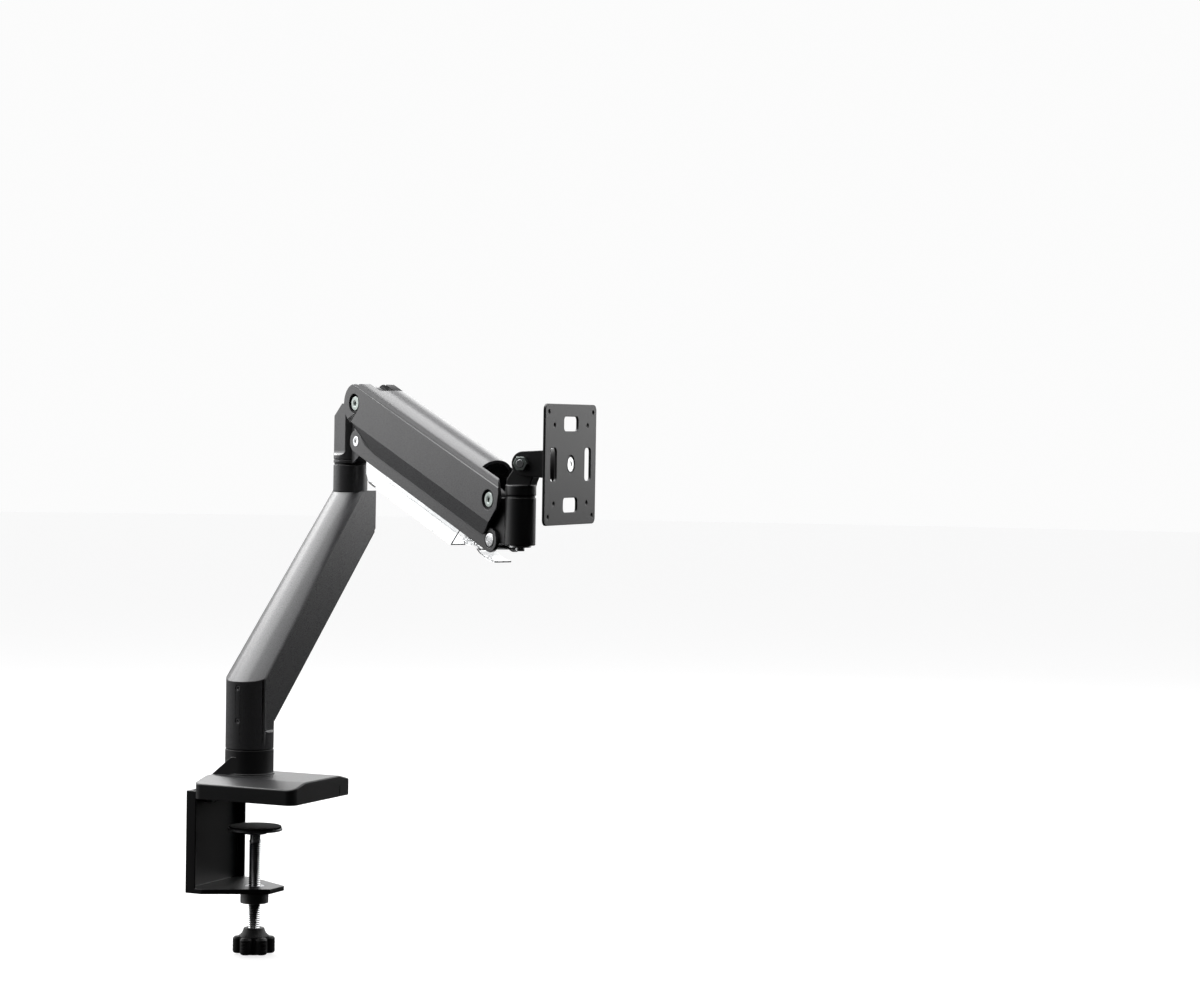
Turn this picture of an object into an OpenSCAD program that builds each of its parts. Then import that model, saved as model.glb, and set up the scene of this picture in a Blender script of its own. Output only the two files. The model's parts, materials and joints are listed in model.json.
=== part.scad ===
// Gas spring monitor arm with a desk clamp, a slanted lower arm and a tilting head.
// +Z is up from the desk top, +X runs along the desk edge, -Y points to the user.

/* [Base] */
// Half the width of the base along the desk edge
base_half_w = 58.5; // [54:0.5:62]
// Distance from the post to the front of the base
base_front = 84.5; // [80:0.5:90]
// Distance from the post to the back of the base
base_back = 29.5; // [28:0.5:30]
// Height of the base at its two side edges
base_side_h = 15.8; // [14:0.1:18]
// Height of the raised middle of the base
base_top_h = 21.7; // [20:0.1:24]
// Half the width of the raised middle
base_crest = 33.5; // [28:0.5:36]
// Radius of the upright post
post_r = 24.2; // [24.1:0.1:25]
// Height of the seam where the arm turns on the post
swivel_z = 46.6; // [44:0.1:48]

/* [Clamp] */
// Thickness of the desk that the clamp holds at rest
desk_t = 30; // [20:1:60]
// Widest desk that the clamp takes
desk_max = 80; // [70:1:80]
// Distance from the post to the clamp screw, towards the front
screw_y = 8; // [4:1:14]

/* [Lower arm] */
// Distance from the post to the elbow
lower_reach = 198.5; // [190:0.5:220]
// Radius of the arm's bottom cylinder
low_r = 24; // [23.8:0.1:24.2]
// Half the width between the arm's flat sides at the post
low_flat_w = 22.4; // [22:0.1:22.8]
// Radius of the elbow cylinders
elbow_r = 18; // [17.5:0.1:18.5]
// Height of the seam at the elbow
elbow_z = 330; // [326:1:334]
// Height of the flat shelf round the elbow cylinder
shelf_z = 302; // [300:1:304]

/* [Upper arm] */
// Direction of the upper arm at rest, turned from +X
arm_turn = -120; // [-150:1:-90]
// Distance between the pivots at the two ends of the upper arm
arm_len = 271; // [265:1:275]
// Slope of the upper arm below level at rest
arm_slope = 20; // [15:1:25]
// Distance from the elbow axis forward to the rear pivot
pivot_fwd = 38.4; // [38:0.1:39]
// Height of the rear pivot above the desk
pivot_z = 393.5; // [392:0.1:396]
// Half the width of the spring housing
housing_w = 20; // [19.8:0.1:20.4]
// Height of the link pivots below the main pivots
link_drop = 39.5; // [39:0.1:40]

/* [Head] */
// Distance from the front pivot forward to the pan axis
pan_fwd = 28; // [28:0.5:30]
// Height of the screen plate's centre above the front pivot
plate_up = 36; // [34:0.5:40]
// Side of the square screen plate
plate_side = 116; // [112:1:120]
// Thickness of the screen plate
plate_t = 2.6; // [2:0.1:4]

/* [Hidden] */
$fn = 64;

// clearance round every pin and shaft that turns
run_gap = 0.05;
// lower arm outline: crown and underside heights above the post axis, and their rise per millimetre
low_front_z = 115;
crown_rise = 0.905;
crown_z0 = low_front_z + crown_rise * low_r;
under_z0 = 67;
under_rise = 0.866;
under_angle = atan(under_rise);
arm_end_x = lower_reach + 26;
arm_taper = (low_flat_w - elbow_r + 0.3) / lower_reach;
crown_depth = 10.5;
// height where the flats start on the bottom cylinder
flat_z = 64;
// heights of the two grub screws that stop the bush from turning
grub_heights = [76, 109];
grub_r = 2.4;
// the cable channel along the underside, from start to end down the slope, and its depth
channel_start = 64;
channel_end = 268;
channel_deep = 31;
channel_w1 = 18;
channel_w2 = 12.4;
// where cables enter and leave the channel through the cover
cable_windows = [[66, 90], [244, 267]];
window_half_w = 10;
// swivel shafts and their bushes
spindle_r = 14;
bush_r = 17;
spindle_top = 114;
elbow_pin_r = 11;
elbow_bush_r = 14;
elbow_bore_z = 285;
// upper arm
tongue_w = 8;
elbow_flat_w = 14;
elbow_flat_z = 340;
cavity_w = 16.4;
link_w = 15.9;
link_in_w = 12.2;
link_back = -2;
link_half_h = 12;
shaft_r = 5;
pivot_bush_r = 7;
link_pin_r = 4;
anchor_drop = 22;
anchor_back = 1.1;
tension_fwd = 25;
tension_r = 4;
anchor_r = 3;
spring_drop = 18.4;
spring_angle = atan(spring_drop / arm_len);
screw_recess_r = 10;
screw_head_r = 7.6;
// head
tilt_fwd = 8;
plate_fwd = 53;
vesa_large = 50;
vesa_small = 37.5;
pan_pin_r = 7;
pan_bush_r = 9.5;
tilt_pin_r = 4;
hub_pin_r = 3.95;
// clamp
jaw_z = -(desk_max + 10);
jaw_t = 5;
pad_t = 8;
bracket_y = 43;
bracket_w = 48;
bracket_t = 3;
clamp_bolt_x = 18;
clamp_bolt_y = 35;
clamp_bolt_r = 3;
clamp_screw_r = 6;
jaw_nut_r = 10;
screw_end_z = -154;

// ---------- shared shapes ----------

// a pin or disc along the width of the arm, from w1 to w2
module across(r, w1, w2) {
    translate([0, w1, 0]) rotate([-90, 0, 0]) cylinder(r = r, h = w2 - w1);
}

// an outline in the arm's side view, given a thickness either side of the middle
module side_plate(half_w) {
    rotate([90, 0, 0]) linear_extrude(2 * half_w, center = true) children();
}

// the same outline twice, as two walls from w1 to w2 on both sides
module side_walls(w1, w2) {
    for (s = [-1, 1]) {
        translate([0, s * (w1 + w2) / 2, 0]) side_plate((w2 - w1) / 2) children();
    }
}

// places that follow the mechanism
module at_elbow() {
    translate([lower_reach, 0, 0]) rotate([0, 0, arm_turn]) children();
}

module at_rear_pivot() {
    at_elbow() translate([pivot_fwd, 0, pivot_z]) children();
}

module along_arm() {
    at_rear_pivot() rotate([0, arm_slope, 0]) children();
}

module at_front_pivot() {
    at_rear_pivot() translate([arm_len * cos(arm_slope), 0, -arm_len * sin(arm_slope)]) children();
}

module along_link() {
    at_rear_pivot() translate([link_back, 0, -link_drop]) rotate([0, arm_slope, 0]) children();
}

// the spring's axis starts at the front pivot and runs back along +X of its own frame
module along_spring() {
    along_arm() translate([arm_len, 0, 0]) rotate([0, 180 - spring_angle, 0]) children();
}

module at_pan() {
    at_front_pivot() translate([pan_fwd, 0, 0]) rotate([0, 0, -90 - arm_turn]) children();
}

module at_tilt() {
    at_pan() translate([tilt_fwd, 0, plate_up]) children();
}

module at_plate() {
    at_pan() translate([plate_fwd, 0, plate_up]) children();
}

// a socket screw head with a hexagon recess, its face at the origin, body along -Z
module socket_head(r, h, key_r) {
    difference() {
        translate([0, 0, -h]) cylinder(r = r, h = h);
        translate([0, 0, -h * 0.6]) cylinder(r = key_r, h = h, $fn = 6);
    }
}

// ---------- base and clamp ----------

module base_plan(inset, h) {
    corner = 7;
    x = base_half_w - inset - corner;
    y1 = -base_front + inset + corner;
    y2 = base_back - inset - corner;
    for (sx = [-x, x], sy = [y1, y2]) {
        translate([sx, sy, 0]) cylinder(r = corner, h = h);
    }
    translate([-x - corner, y1, 0]) cube([2 * (x + corner), y2 - y1, h]);
    translate([-x, y1 - corner, 0]) cube([2 * x, y2 - y1 + 2 * corner, h]);
}

module gusset() {
    rotate([90, 0, 90]) linear_extrude(3, center = true)
        polygon([[0, 12], [28, 14], [28, base_top_h + 0.6], [7, base_top_h + 18], [0, base_top_h + 18]]);
}

module base_casting() {
    color("#202022") difference() {
        union() {
            intersection() {
                translate([0, 0, 0.5]) base_plan(0, base_top_h);
                rotate([90, 0, 0]) linear_extrude(400, center = true)
                    polygon([
                        [-base_half_w, 0], [base_half_w, 0], [base_half_w, base_side_h],
                        [base_crest, base_top_h], [-base_crest, base_top_h], [-base_half_w, base_side_h]
                    ]);
            }
            cylinder(r = post_r, h = swivel_z);
            cylinder(r = post_r + 1, h = base_top_h + 1.6);
            for (s = [-1, 1]) {
                translate([s * (post_r - 1.5), 0, 0]) gusset();
            }
        }
        translate([0, 0, -1]) base_plan(3, 7.1);
        translate([-30.4, 0, -1]) cube([60.8, base_back + 1, 7.4]);
        translate([0, 0, 7]) cylinder(r = spindle_r, h = swivel_z);
        for (p = base_screw_places()) {
            translate([p[0], p[1], 0]) cylinder(r = 2.5, h = 13);
        }
    }
}

function base_screw_places() = [for (x = [-42, 42], y = [-66, 14]) [x, y]];

module base_plate() {
    color("#3a3a3c") difference() {
        union() {
            translate([0, 0, 2]) base_plan(3.4, 4);
            translate([-30, 0, 2]) cube([60, bracket_y - 3.3, 4]);
        }
        for (p = base_screw_places()) {
            translate([p[0], p[1], 0]) cylinder(r = 3.2, h = 10);
            translate([p[0], p[1], 1.9]) cylinder(r1 = 5.6, r2 = 3.2, h = 2.5);
        }
        for (x = [-clamp_bolt_x, clamp_bolt_x]) {
            translate([x, clamp_bolt_y, 0]) cylinder(r = clamp_bolt_r + run_gap, h = 10);
        }
    }
}

module base_screws() {
    color("silver") for (p = base_screw_places()) {
        translate([p[0], p[1], 2.2]) {
            cylinder(r1 = 5.3, r2 = 2.9, h = 2.5);
            cylinder(r = 2.4, h = 10);
        }
    }
}

module base_pad() {
    color("#161616") difference() {
        base_plan(4, 2);
        for (p = base_screw_places()) {
            translate([p[0], p[1], -1]) cylinder(r = 6, h = 4);
        }
    }
}

module post_spindle() {
    color("silver") difference() {
        translate([0, 0, 7]) cylinder(r = spindle_r, h = spindle_top - 7);
        translate([0, 0, 0]) cylinder(r = 8, h = spindle_top + 1);
    }
}

// C-shaped bracket: back wall with two side flanges, a lip under the base plate and the lower jaw
module clamp_bracket() {
    inner_y = 32;
    tall = 7 - jaw_z + jaw_t;
    color("#202022") {
        difference() {
            union() {
                translate([-bracket_w, bracket_y - bracket_t, jaw_z - jaw_t])
                    cube([2 * bracket_w, bracket_t, tall]);
                for (x = [-bracket_w, bracket_w - bracket_t]) {
                    translate([x, inner_y, jaw_z - jaw_t]) cube([bracket_t, bracket_y - inner_y, tall]);
                }
                translate([-bracket_w, inner_y, -2]) cube([2 * bracket_w, bracket_y - inner_y, 4]);
                translate([0, 0, jaw_z - jaw_t]) linear_extrude(jaw_t)
                    polygon([[-bracket_w, 40], [-bracket_w, 24], [-22, -20], [-14, -34],
                             [14, -34], [22, -20], [bracket_w, 24], [bracket_w, 40]]);
            }
            for (x = [-clamp_bolt_x, clamp_bolt_x]) {
                translate([x, clamp_bolt_y, -5]) cylinder(r = clamp_bolt_r + run_gap, h = 10);
            }
            translate([0, -screw_y, jaw_z - jaw_t - 1]) cylinder(r = jaw_nut_r, h = jaw_t + 2);
        }
    }
}

module clamp_bolts() {
    color("silver") for (x = [-clamp_bolt_x, clamp_bolt_x]) {
        translate([x, clamp_bolt_y, 0]) {
            translate([0, 0, -2]) cylinder(r = clamp_bolt_r, h = 8);
            translate([0, 0, 9]) socket_head(5, 3, 2);
            translate([0, 0, -7]) cylinder(r = 5.5, h = 5, $fn = 6);
        }
    }
}

module jaw_nut() {
    color("#3a3a3c") translate([0, -screw_y, 0]) difference() {
        union() {
            translate([0, 0, jaw_z - jaw_t - 12]) cylinder(r = 14, h = 12);
            translate([0, 0, jaw_z - jaw_t]) cylinder(r = jaw_nut_r, h = jaw_t);
        }
        translate([0, 0, jaw_z - jaw_t - 13]) cylinder(r = clamp_screw_r + run_gap, h = jaw_t + 20);
    }
}

module pressure_pad() {
    color("#2a2a2c") translate([0, -screw_y, -desk_t - pad_t]) difference() {
        rotate_extrude() polygon([[0, 0], [12, 0], [12, 2], [27, 3.5], [27, 6], [0, 6]]);
        translate([0, 0, -1]) cylinder(r = clamp_screw_r + run_gap, h = 5);
    }
}

module pad_rubber() {
    color("#161616") translate([0, -screw_y, -desk_t - 2]) cylinder(r = 26, h = 2);
}

module clamp_screw() {
    color("silver") translate([0, -screw_y, 0]) difference() {
        translate([0, 0, screw_end_z]) cylinder(r = clamp_screw_r, h = 3 - pad_t - desk_t - screw_end_z);
        translate([0, 0, screw_end_z - 1]) cylinder(r = 3, h = 6, $fn = 6);
    }
}

module clamp_knob() {
    color("#202022") translate([0, -screw_y, screw_end_z - 4]) difference() {
        union() {
            cylinder(r = 15, h = 26);
            for (a = [0:60:300]) {
                rotate([0, 0, a]) translate([15, 0, 0]) cylinder(r = 6, h = 18, $fn = 32);
            }
        }
        translate([0, 0, 4]) cylinder(r = clamp_screw_r, h = 40);
        translate([0, 0, -1]) cylinder(r = 4, h = 10);
    }
}

// ---------- lower arm ----------

function arm_half_w(x) = low_flat_w - arm_taper * x;

// upright cross-section of the arm at x: flat sides and underside, half an ellipse on top
module arm_section(x) {
    w = arm_half_w(x);
    top = crown_z0 + crown_rise * x;
    steps = 18;
    translate([x, 0, 0]) rotate([90, 0, 90]) linear_extrude(0.01, center = true)
        polygon(concat(
            [for (i = [0:steps])
                let (a = 180 - 180 * i / steps)
                [w * cos(a), top - crown_depth * (1 - sin(a))]],
            [[w, under_z0 + under_rise * x], [-w, under_z0 + under_rise * x]]
        ));
}

module lower_arm() {
    color("#2e2e30") difference() {
        union() {
            intersection() {
                hull() {
                    arm_section(-low_r);
                    arm_section(arm_end_x);
                }
                union() {
                    translate([0, 0, swivel_z + 1]) cylinder(r = low_r, h = 200);
                    linear_extrude(shelf_z)
                        polygon([[0, -arm_half_w(0)], [arm_end_x, -arm_half_w(arm_end_x)],
                                 [arm_end_x, arm_half_w(arm_end_x)], [0, arm_half_w(0)]]);
                }
            }
            translate([0, 0, swivel_z + 1]) cylinder(r = low_r, h = flat_z - swivel_z - 1);
            intersection() {
                translate([0, 0, flat_z - 1]) cylinder(r = low_r, h = low_front_z - flat_z - 1);
                linear_extrude(low_front_z)
                    polygon([[-low_r, -arm_half_w(-low_r)], [low_r, -arm_half_w(low_r)],
                             [low_r, arm_half_w(low_r)], [-low_r, arm_half_w(-low_r)]]);
            }
            translate([lower_reach, 0, shelf_z - 20]) cylinder(r = elbow_r, h = elbow_z - 1 - shelf_z + 20);
        }
        translate([0, 0, swivel_z]) cylinder(r = bush_r, h = spindle_top + 3 - swivel_z);
        translate([lower_reach, 0, elbow_bore_z]) cylinder(r = elbow_bush_r, h = 60);
        translate([lower_reach, 0, 225]) cylinder(r = 9, h = 80);
        for (z = grub_heights) {
            translate([-low_r - 1, 0, z]) rotate([0, 90, 0]) cylinder(r = grub_r + 0.1, h = 9);
        }
        // cable channel in the underside
        translate([0, 0, under_z0]) rotate([0, -under_angle, 0]) translate([0, 0, -5])
            linear_extrude(channel_deep + 5)
                polygon([[channel_start, -channel_w1], [channel_end, -channel_w2],
                         [channel_end, channel_w2], [channel_start, channel_w1]]);
    }
}

module lower_bush() {
    color("#d8d4c8") translate([0, 0, swivel_z + 1]) difference() {
        cylinder(r = bush_r, h = spindle_top - swivel_z - 4);
        translate([0, 0, -1]) cylinder(r = spindle_r + run_gap, h = 80);
        for (z = grub_heights) {
            translate([-low_r, 0, z - swivel_z - 1]) rotate([0, 90, 0]) cylinder(r = grub_r + 0.2, h = 12);
        }
    }
}

module swivel_washer() {
    color("#101010") translate([0, 0, swivel_z]) difference() {
        cylinder(r = low_r - 0.9, h = 1);
        translate([0, 0, -1]) cylinder(r = spindle_r + run_gap, h = 3);
    }
}

module grub_screws() {
    color("#8a8a8c") for (z = grub_heights) {
        translate([-low_r + 0.6, 0, z]) rotate([0, 90, 0]) difference() {
            cylinder(r = grub_r, h = low_r - 0.6 - spindle_r - 0.1);
            translate([0, 0, -1]) cylinder(r = 1.3, h = 3.5, $fn = 6);
        }
    }
}

// full-width strip under the arm, notched round the bottom cylinder, with two ribs in the channel
// and a window at each end for the cables
module lower_cable_cover() {
    s1 = 8;
    s2 = (arm_end_x - 1.5) / cos(under_angle);
    rib_w = 1.6;
    w1 = arm_half_w(s1) - 0.3;
    w2 = arm_half_w(arm_end_x) - 0.3;
    color("#1c1c1e") difference() {
        translate([0, 0, under_z0]) rotate([0, -under_angle, 0]) difference() {
            union() {
                translate([0, 0, -1.9]) linear_extrude(1.85)
                    polygon([[s1, -w1], [s2, -w2], [s2, w2], [s1, w1]]);
                for (s = [-1, 1]) {
                    translate([92, s * 11 - rib_w / 2, -0.5]) cube([148, rib_w, 5.5]);
                }
            }
            for (window = cable_windows) {
                translate([window[0], -window_half_w, -5])
                    cube([window[1] - window[0], 2 * window_half_w, 20]);
            }
        }
        cylinder(r = low_r + 0.3, h = 200);
    }
}

module elbow_bush() {
    color("#d8d4c8") translate([lower_reach, 0, elbow_bore_z + 2.2]) difference() {
        cylinder(r = elbow_bush_r, h = elbow_z - 1 - elbow_bore_z - 2.2);
        translate([0, 0, -1]) cylinder(r = elbow_pin_r + run_gap, h = 80);
    }
}

// ---------- elbow ----------

module elbow() {
    color("#2e2e30") at_elbow() difference() {
        union() {
            translate([0, 0, elbow_z + 1]) cylinder(r = elbow_r, h = elbow_flat_z - elbow_z - 1);
            intersection() {
                translate([0, 0, elbow_flat_z - 1]) cylinder(r = elbow_r, h = 80);
                translate([0, 0, pivot_z]) side_plate(elbow_flat_w)
                    polygon([[-20, -60], [20, -60], [20, 0.3], [4, 0.3], [-20, -18.5]]);
            }
            translate([0, 0, pivot_z]) side_plate(tongue_w)
                polygon([[0, elbow_z + 1 - pivot_z], [18, elbow_z + 1 - pivot_z], [42, -47.8], [46.2, -41],
                         [56.2, -3], [38, 10], [29.2, 15.5], [4, 0.3], [0, 0]]);
            translate([pivot_fwd, 0, pivot_z]) across(18, -tongue_w, tongue_w);
            translate([pivot_fwd + link_back, 0, pivot_z - link_drop]) across(10, -tongue_w, tongue_w);
        }
        translate([0, 0, elbow_z]) cylinder(r = elbow_pin_r, h = 18);
        translate([pivot_fwd, 0, pivot_z]) across(pivot_bush_r, -30, 30);
        translate([pivot_fwd + link_back, 0, pivot_z - link_drop]) across(link_pin_r + 1.5, -30, 30);
        // window for the spring carriage, and the bore of its screw
        translate([19.6, -30, pivot_z - 30]) cube([23.8, 60, 21]);
        translate([tension_fwd, 0, pivot_z - 34]) cylinder(r = tension_r + run_gap, h = 60);
        translate([tension_fwd, 0, pivot_z + 5]) cylinder(r = 6.4, h = 20);
    }
}

module elbow_spindle() {
    color("silver") translate([lower_reach, 0, 0]) difference() {
        translate([0, 0, elbow_bore_z + 2.2])
            cylinder(r = elbow_pin_r, h = elbow_z + 18 - elbow_bore_z - 2.2);
        translate([0, 0, elbow_bore_z]) cylinder(r = 4, h = 20);
    }
}

module elbow_washer() {
    color("#101010") translate([lower_reach, 0, elbow_z - 0.9]) difference() {
        cylinder(r = elbow_r - 0.9, h = 1.9);
        translate([0, 0, -1]) cylinder(r = elbow_pin_r + run_gap, h = 4);
    }
}

module elbow_retainer() {
    color("silver") translate([lower_reach, 0, elbow_bore_z]) {
        translate([0, 0, 0.3]) cylinder(r = 13.5, h = 1.9);
        cylinder(r = 3.95, h = 18);
        rotate([180, 0, 0]) translate([0, 0, 5]) socket_head(6.5, 6, 2.5);
    }
}

module pivot_bush_pair(r, bore, flange, w1, w2) {
    for (s = [0, 180]) {
        rotate([0, 0, s]) difference() {
            union() {
                across(r, 1, w1);
                across(flange, w1, w2);
            }
            across(bore + run_gap, -30, 30);
        }
    }
}

module rear_pivot_bushes() {
    color("#d8d4c8") at_rear_pivot() pivot_bush_pair(pivot_bush_r, shaft_r, 8, tongue_w, 11.9);
}

module rear_link_bushes() {
    color("#d8d4c8") at_rear_pivot() translate([link_back, 0, -link_drop])
        pivot_bush_pair(link_pin_r + 1.5, link_pin_r, 5.6, tongue_w, link_in_w - 0.1);
}

module spring_carriage() {
    color("#6a6a6c") at_rear_pivot() difference() {
        translate([19.8 - pivot_fwd, -tongue_w, -29]) cube([23.2, 2 * tongue_w, 14.5]);
        translate([-anchor_back, 0, -anchor_drop]) across(anchor_r, -30, 30);
        translate([tension_fwd - pivot_fwd, 0, -40]) cylinder(r = tension_r + run_gap, h = 60);
    }
}

module anchor_pin() {
    color("silver") at_rear_pivot() translate([-anchor_back, 0, -anchor_drop])
        across(anchor_r, -11.6, 11.6);
}

module tension_screw() {
    color("silver") at_elbow() translate([tension_fwd, 0, pivot_z]) {
        translate([0, 0, -29.6]) cylinder(r = tension_r, h = 36);
        translate([0, 0, 11]) socket_head(6, 5.8, 3);
    }
}

// ---------- upper arm ----------

// cross-section of the housing: crowned top, flat sides, lower band leaning in
module housing_section(w, crease, crown, low_w, bottom) {
    steps = 16;
    polygon(concat(
        [for (i = [0:steps])
            let (a = 180 * i / steps)
            [w * cos(a), crease + (crown - crease) * sin(a)]],
        [[-w, -20], [-low_w, bottom], [low_w, bottom], [w, -20]]
    ));
}

module along_x(x1, x2) {
    translate([x1, 0, 0]) rotate([90, 0, 90]) linear_extrude(x2 - x1) children();
}

module housing_outline() {
    circle(r = 20.5);
    translate([arm_len, 0]) circle(r = 20.5);
    polygon([[-9, 18.4], [0, 22], [16, 27.5], [34, 31.6], [258, 31.6], [276, 27], [286, 14],
             [arm_len + 17.2, -2], [arm_len + 0.5, -33.5], [arm_len - 3, -36.5], [52, -36.5],
             [32, -34.2], [22, -28.5], [14.8, -20.5], [0, -20.5]]);
}

module spring_housing() {
    color("#3c3c3f") along_arm() difference() {
        union() {
            difference() {
                intersection() {
                    along_x(-30, arm_len + 30) housing_section(housing_w, 17, 31.5, 17.6, -37);
                    side_plate(40) housing_outline();
                }
                along_x(-40, arm_len + 40) housing_section(cavity_w, 14, 28, cavity_w, -50);
                // top slot that lets the elbow's tongue through
                translate([-40, -elbow_flat_w, 0]) cube([72, 2 * elbow_flat_w, 60]);
                translate([32, 0, 0]) cylinder(r = elbow_flat_w, h = 60);
                // the front end is open above, so that the head clears it when the arm is low
                translate([arm_len - 25, -cavity_w, 0]) cube([60, 2 * cavity_w, 60]);
            }
            for (x = [0, arm_len], s = [-1, 1]) {
                translate([x, s * 14.7, 0]) across(12.5, -2.6, 2.6);
            }
        }
        for (x = [0, arm_len]) {
            translate([x, 0, 0]) across(shaft_r, -40, 40);
            for (s = [0, 180]) {
                translate([x, 0, 0]) rotate([0, 0, s]) across(screw_recess_r, 16.2, 40);
            }
        }
    }
}

module pivot_shaft() {
    difference() {
        across(shaft_r, -16.1, 16.1);
        across(2.6, -20, -5);
        across(2.6, 5, 20);
    }
}

module pivot_screw_pair() {
    for (s = [0, 180]) {
        rotate([0, 0, s]) {
            across(2.5, 6, 16.2);
            translate([0, 18.9, 0]) rotate([-90, 0, 0]) socket_head(screw_head_r, 2.7, 2.6);
        }
    }
}

module rear_pivot_shaft() {
    color("silver") along_arm() pivot_shaft();
}

module rear_pivot_screws() {
    color("#b8c0b8") along_arm() pivot_screw_pair();
}

module front_pivot_shaft() {
    color("silver") along_arm() translate([arm_len, 0, 0]) pivot_shaft();
}

module front_pivot_screws() {
    color("#b8c0b8") along_arm() translate([arm_len, 0, 0]) pivot_screw_pair();
}

module gas_cylinder() {
    color("#1a1a1c") along_spring() difference() {
        union() {
            across(8.5, -5.5, 5.5);
            translate([0, -5.5, -6]) cube([32, 11, 12]);
            translate([31, 0, 0]) rotate([0, 90, 0]) cylinder(r = 10, h = 148);
        }
        across(shaft_r + run_gap, -10, 10);
        translate([60, 0, 0]) rotate([0, 90, 0]) cylinder(r = 8.6, h = 130);
    }
}

module rod_gland() {
    color("#8a8a8c") along_spring() translate([172, 0, 0]) rotate([0, 90, 0]) difference() {
        cylinder(r = 8.6, h = 9);
        translate([0, 0, -1]) cylinder(r = 4 + run_gap, h = 12);
    }
}

module gas_rod() {
    color("silver") along_spring() translate([112, 0, 0]) rotate([0, 90, 0]) {
        cylinder(r = 4, h = 113);
        cylinder(r = 8.5, h = 8);
    }
}

// fork whose two ears stand either side of the tongue, loose on the anchor pin
module rod_yoke() {
    eye = arm_len / cos(spring_angle) - 6.5;
    color("#6a6a6c") along_spring() difference() {
        union() {
            translate([220, -11.5, -8]) cube([9, 23, 16]);
            for (s = [-1, 1]) {
                translate([228, s * 10 - 1.5, -7]) cube([eye - 228, 3, 14]);
                translate([eye, s * 10, 0]) across(8.9, -1.5, 1.5);
            }
        }
        translate([eye, 0, 0]) across(7, -30, 30);
        translate([219, 0, 0]) rotate([0, 90, 0]) cylinder(r = 4, h = 6);
    }
}

// ---------- lower link and cable tray ----------

module lower_link() {
    color("#38383b") along_link() difference() {
        union() {
            side_walls(link_in_w, link_w) {
                circle(r = link_half_h);
                translate([arm_len, 0]) circle(r = link_half_h);
                translate([0, -link_half_h]) square([arm_len, 2 * link_half_h]);
            }
            translate([26, -link_w, -link_half_h]) cube([arm_len - 46, 2 * link_w, 2.5]);
        }
        across(link_pin_r, -40, 40);
        for (s = [0, 180]) {
            rotate([0, 0, s]) across(5.8, link_w - 1.5, 40);
        }
        translate([arm_len, 0, 0]) across(link_pin_r, -40, 40);
        for (s = [0, 180]) {
            translate([arm_len, 0, 0]) rotate([0, 0, s]) across(8, link_w - 1.5, 40);
        }
    }
}

module rear_link_screws() {
    color("silver") along_link() for (s = [0, 180]) {
        rotate([0, 0, s]) {
            across(link_pin_r, 0.2, link_w - 1.5);
            translate([0, link_w + 0.5, 0]) rotate([-90, 0, 0]) socket_head(5.6, 2, 2.2);
        }
    }
}

module front_link_pin() {
    color("silver") along_link() translate([arm_len, 0, 0]) {
        across(link_pin_r, -link_w + 1.5, link_w - 1.5);
        for (s = [0, 180]) {
            rotate([0, 0, s]) across(7.2, link_w - 1.5, link_w + 0.4);
        }
    }
}

module cable_tray() {
    depth = -link_half_h - 21;
    color([0.85, 0.9, 0.92, 0.5]) along_link() difference() {
        side_plate(13)
            polygon([[22, -link_half_h - 0.05], [27, -link_half_h - 14], [34, depth + 1.2], [40, depth],
                     [204, depth], [214, -link_half_h - 0.05]]);
        side_plate(11.4)
            polygon([[-10, 0], [-10, depth + 1.6], [240, depth + 1.6], [240, 0]]);
    }
}

module cable_clip() {
    low = -link_half_h;
    color([0.85, 0.9, 0.92, 0.5]) along_link() {
        side_plate(10)
            polygon([[236, low - 0.05], [246, low - 0.05], [246, low - 12], [262, low - 10.5], [278, low - 5],
                     [279, low - 6.4], [262, low - 12.3], [244, low - 14], [236, low - 4]]);
    }
}

// ---------- head ----------

module head_bracket() {
    low = -link_drop;
    color("#1c1c1e") difference() {
        union() {
            at_front_pivot() {
                side_plate(12)
                    polygon([[-8, 7], [5, 9], [10, 2], [pan_fwd - 4, 2], [pan_fwd - 4, low - 3], [9, low - 3],
                             [2, low - 8], [link_back - 8, low - 2], [-8, low + 14]]);
                across(12, -12, 12);
                translate([link_back, 0, low]) across(9.5, -12, 12);
            }
            at_pan() translate([0, 0, low - 4]) cylinder(r = 15, h = 7 - low);
        }
        at_front_pivot() {
            across(pivot_bush_r, -30, 30);
            across(13.5, -6, 6);
            translate([-30, -6, -29.6]) cube([36, 12, 48]);
            translate([link_back, 0, low]) across(link_pin_r + run_gap, -30, 30);
        }
        at_pan() translate([0, 0, low - 5]) cylinder(r = pan_bush_r, h = 60);
    }
}

module front_pivot_bushes() {
    color("#d8d4c8") at_front_pivot() for (s = [0, 180]) {
        rotate([0, 0, s]) difference() {
            across(pivot_bush_r, 6.1, 12);
            across(shaft_r + run_gap, -30, 30);
        }
    }
}

module pan_bush() {
    color("#d8d4c8") at_pan() translate([0, 0, -link_drop - 4]) difference() {
        cylinder(r = pan_bush_r, h = link_drop + 7);
        translate([0, 0, -1]) cylinder(r = pan_pin_r + run_gap, h = 80);
    }
}

module pan_washer() {
    color("#101010") at_pan() translate([0, 0, 3]) difference() {
        cylinder(r = 14.2, h = 1.5);
        translate([0, 0, -1]) cylinder(r = pan_pin_r + run_gap, h = 4);
    }
}

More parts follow.
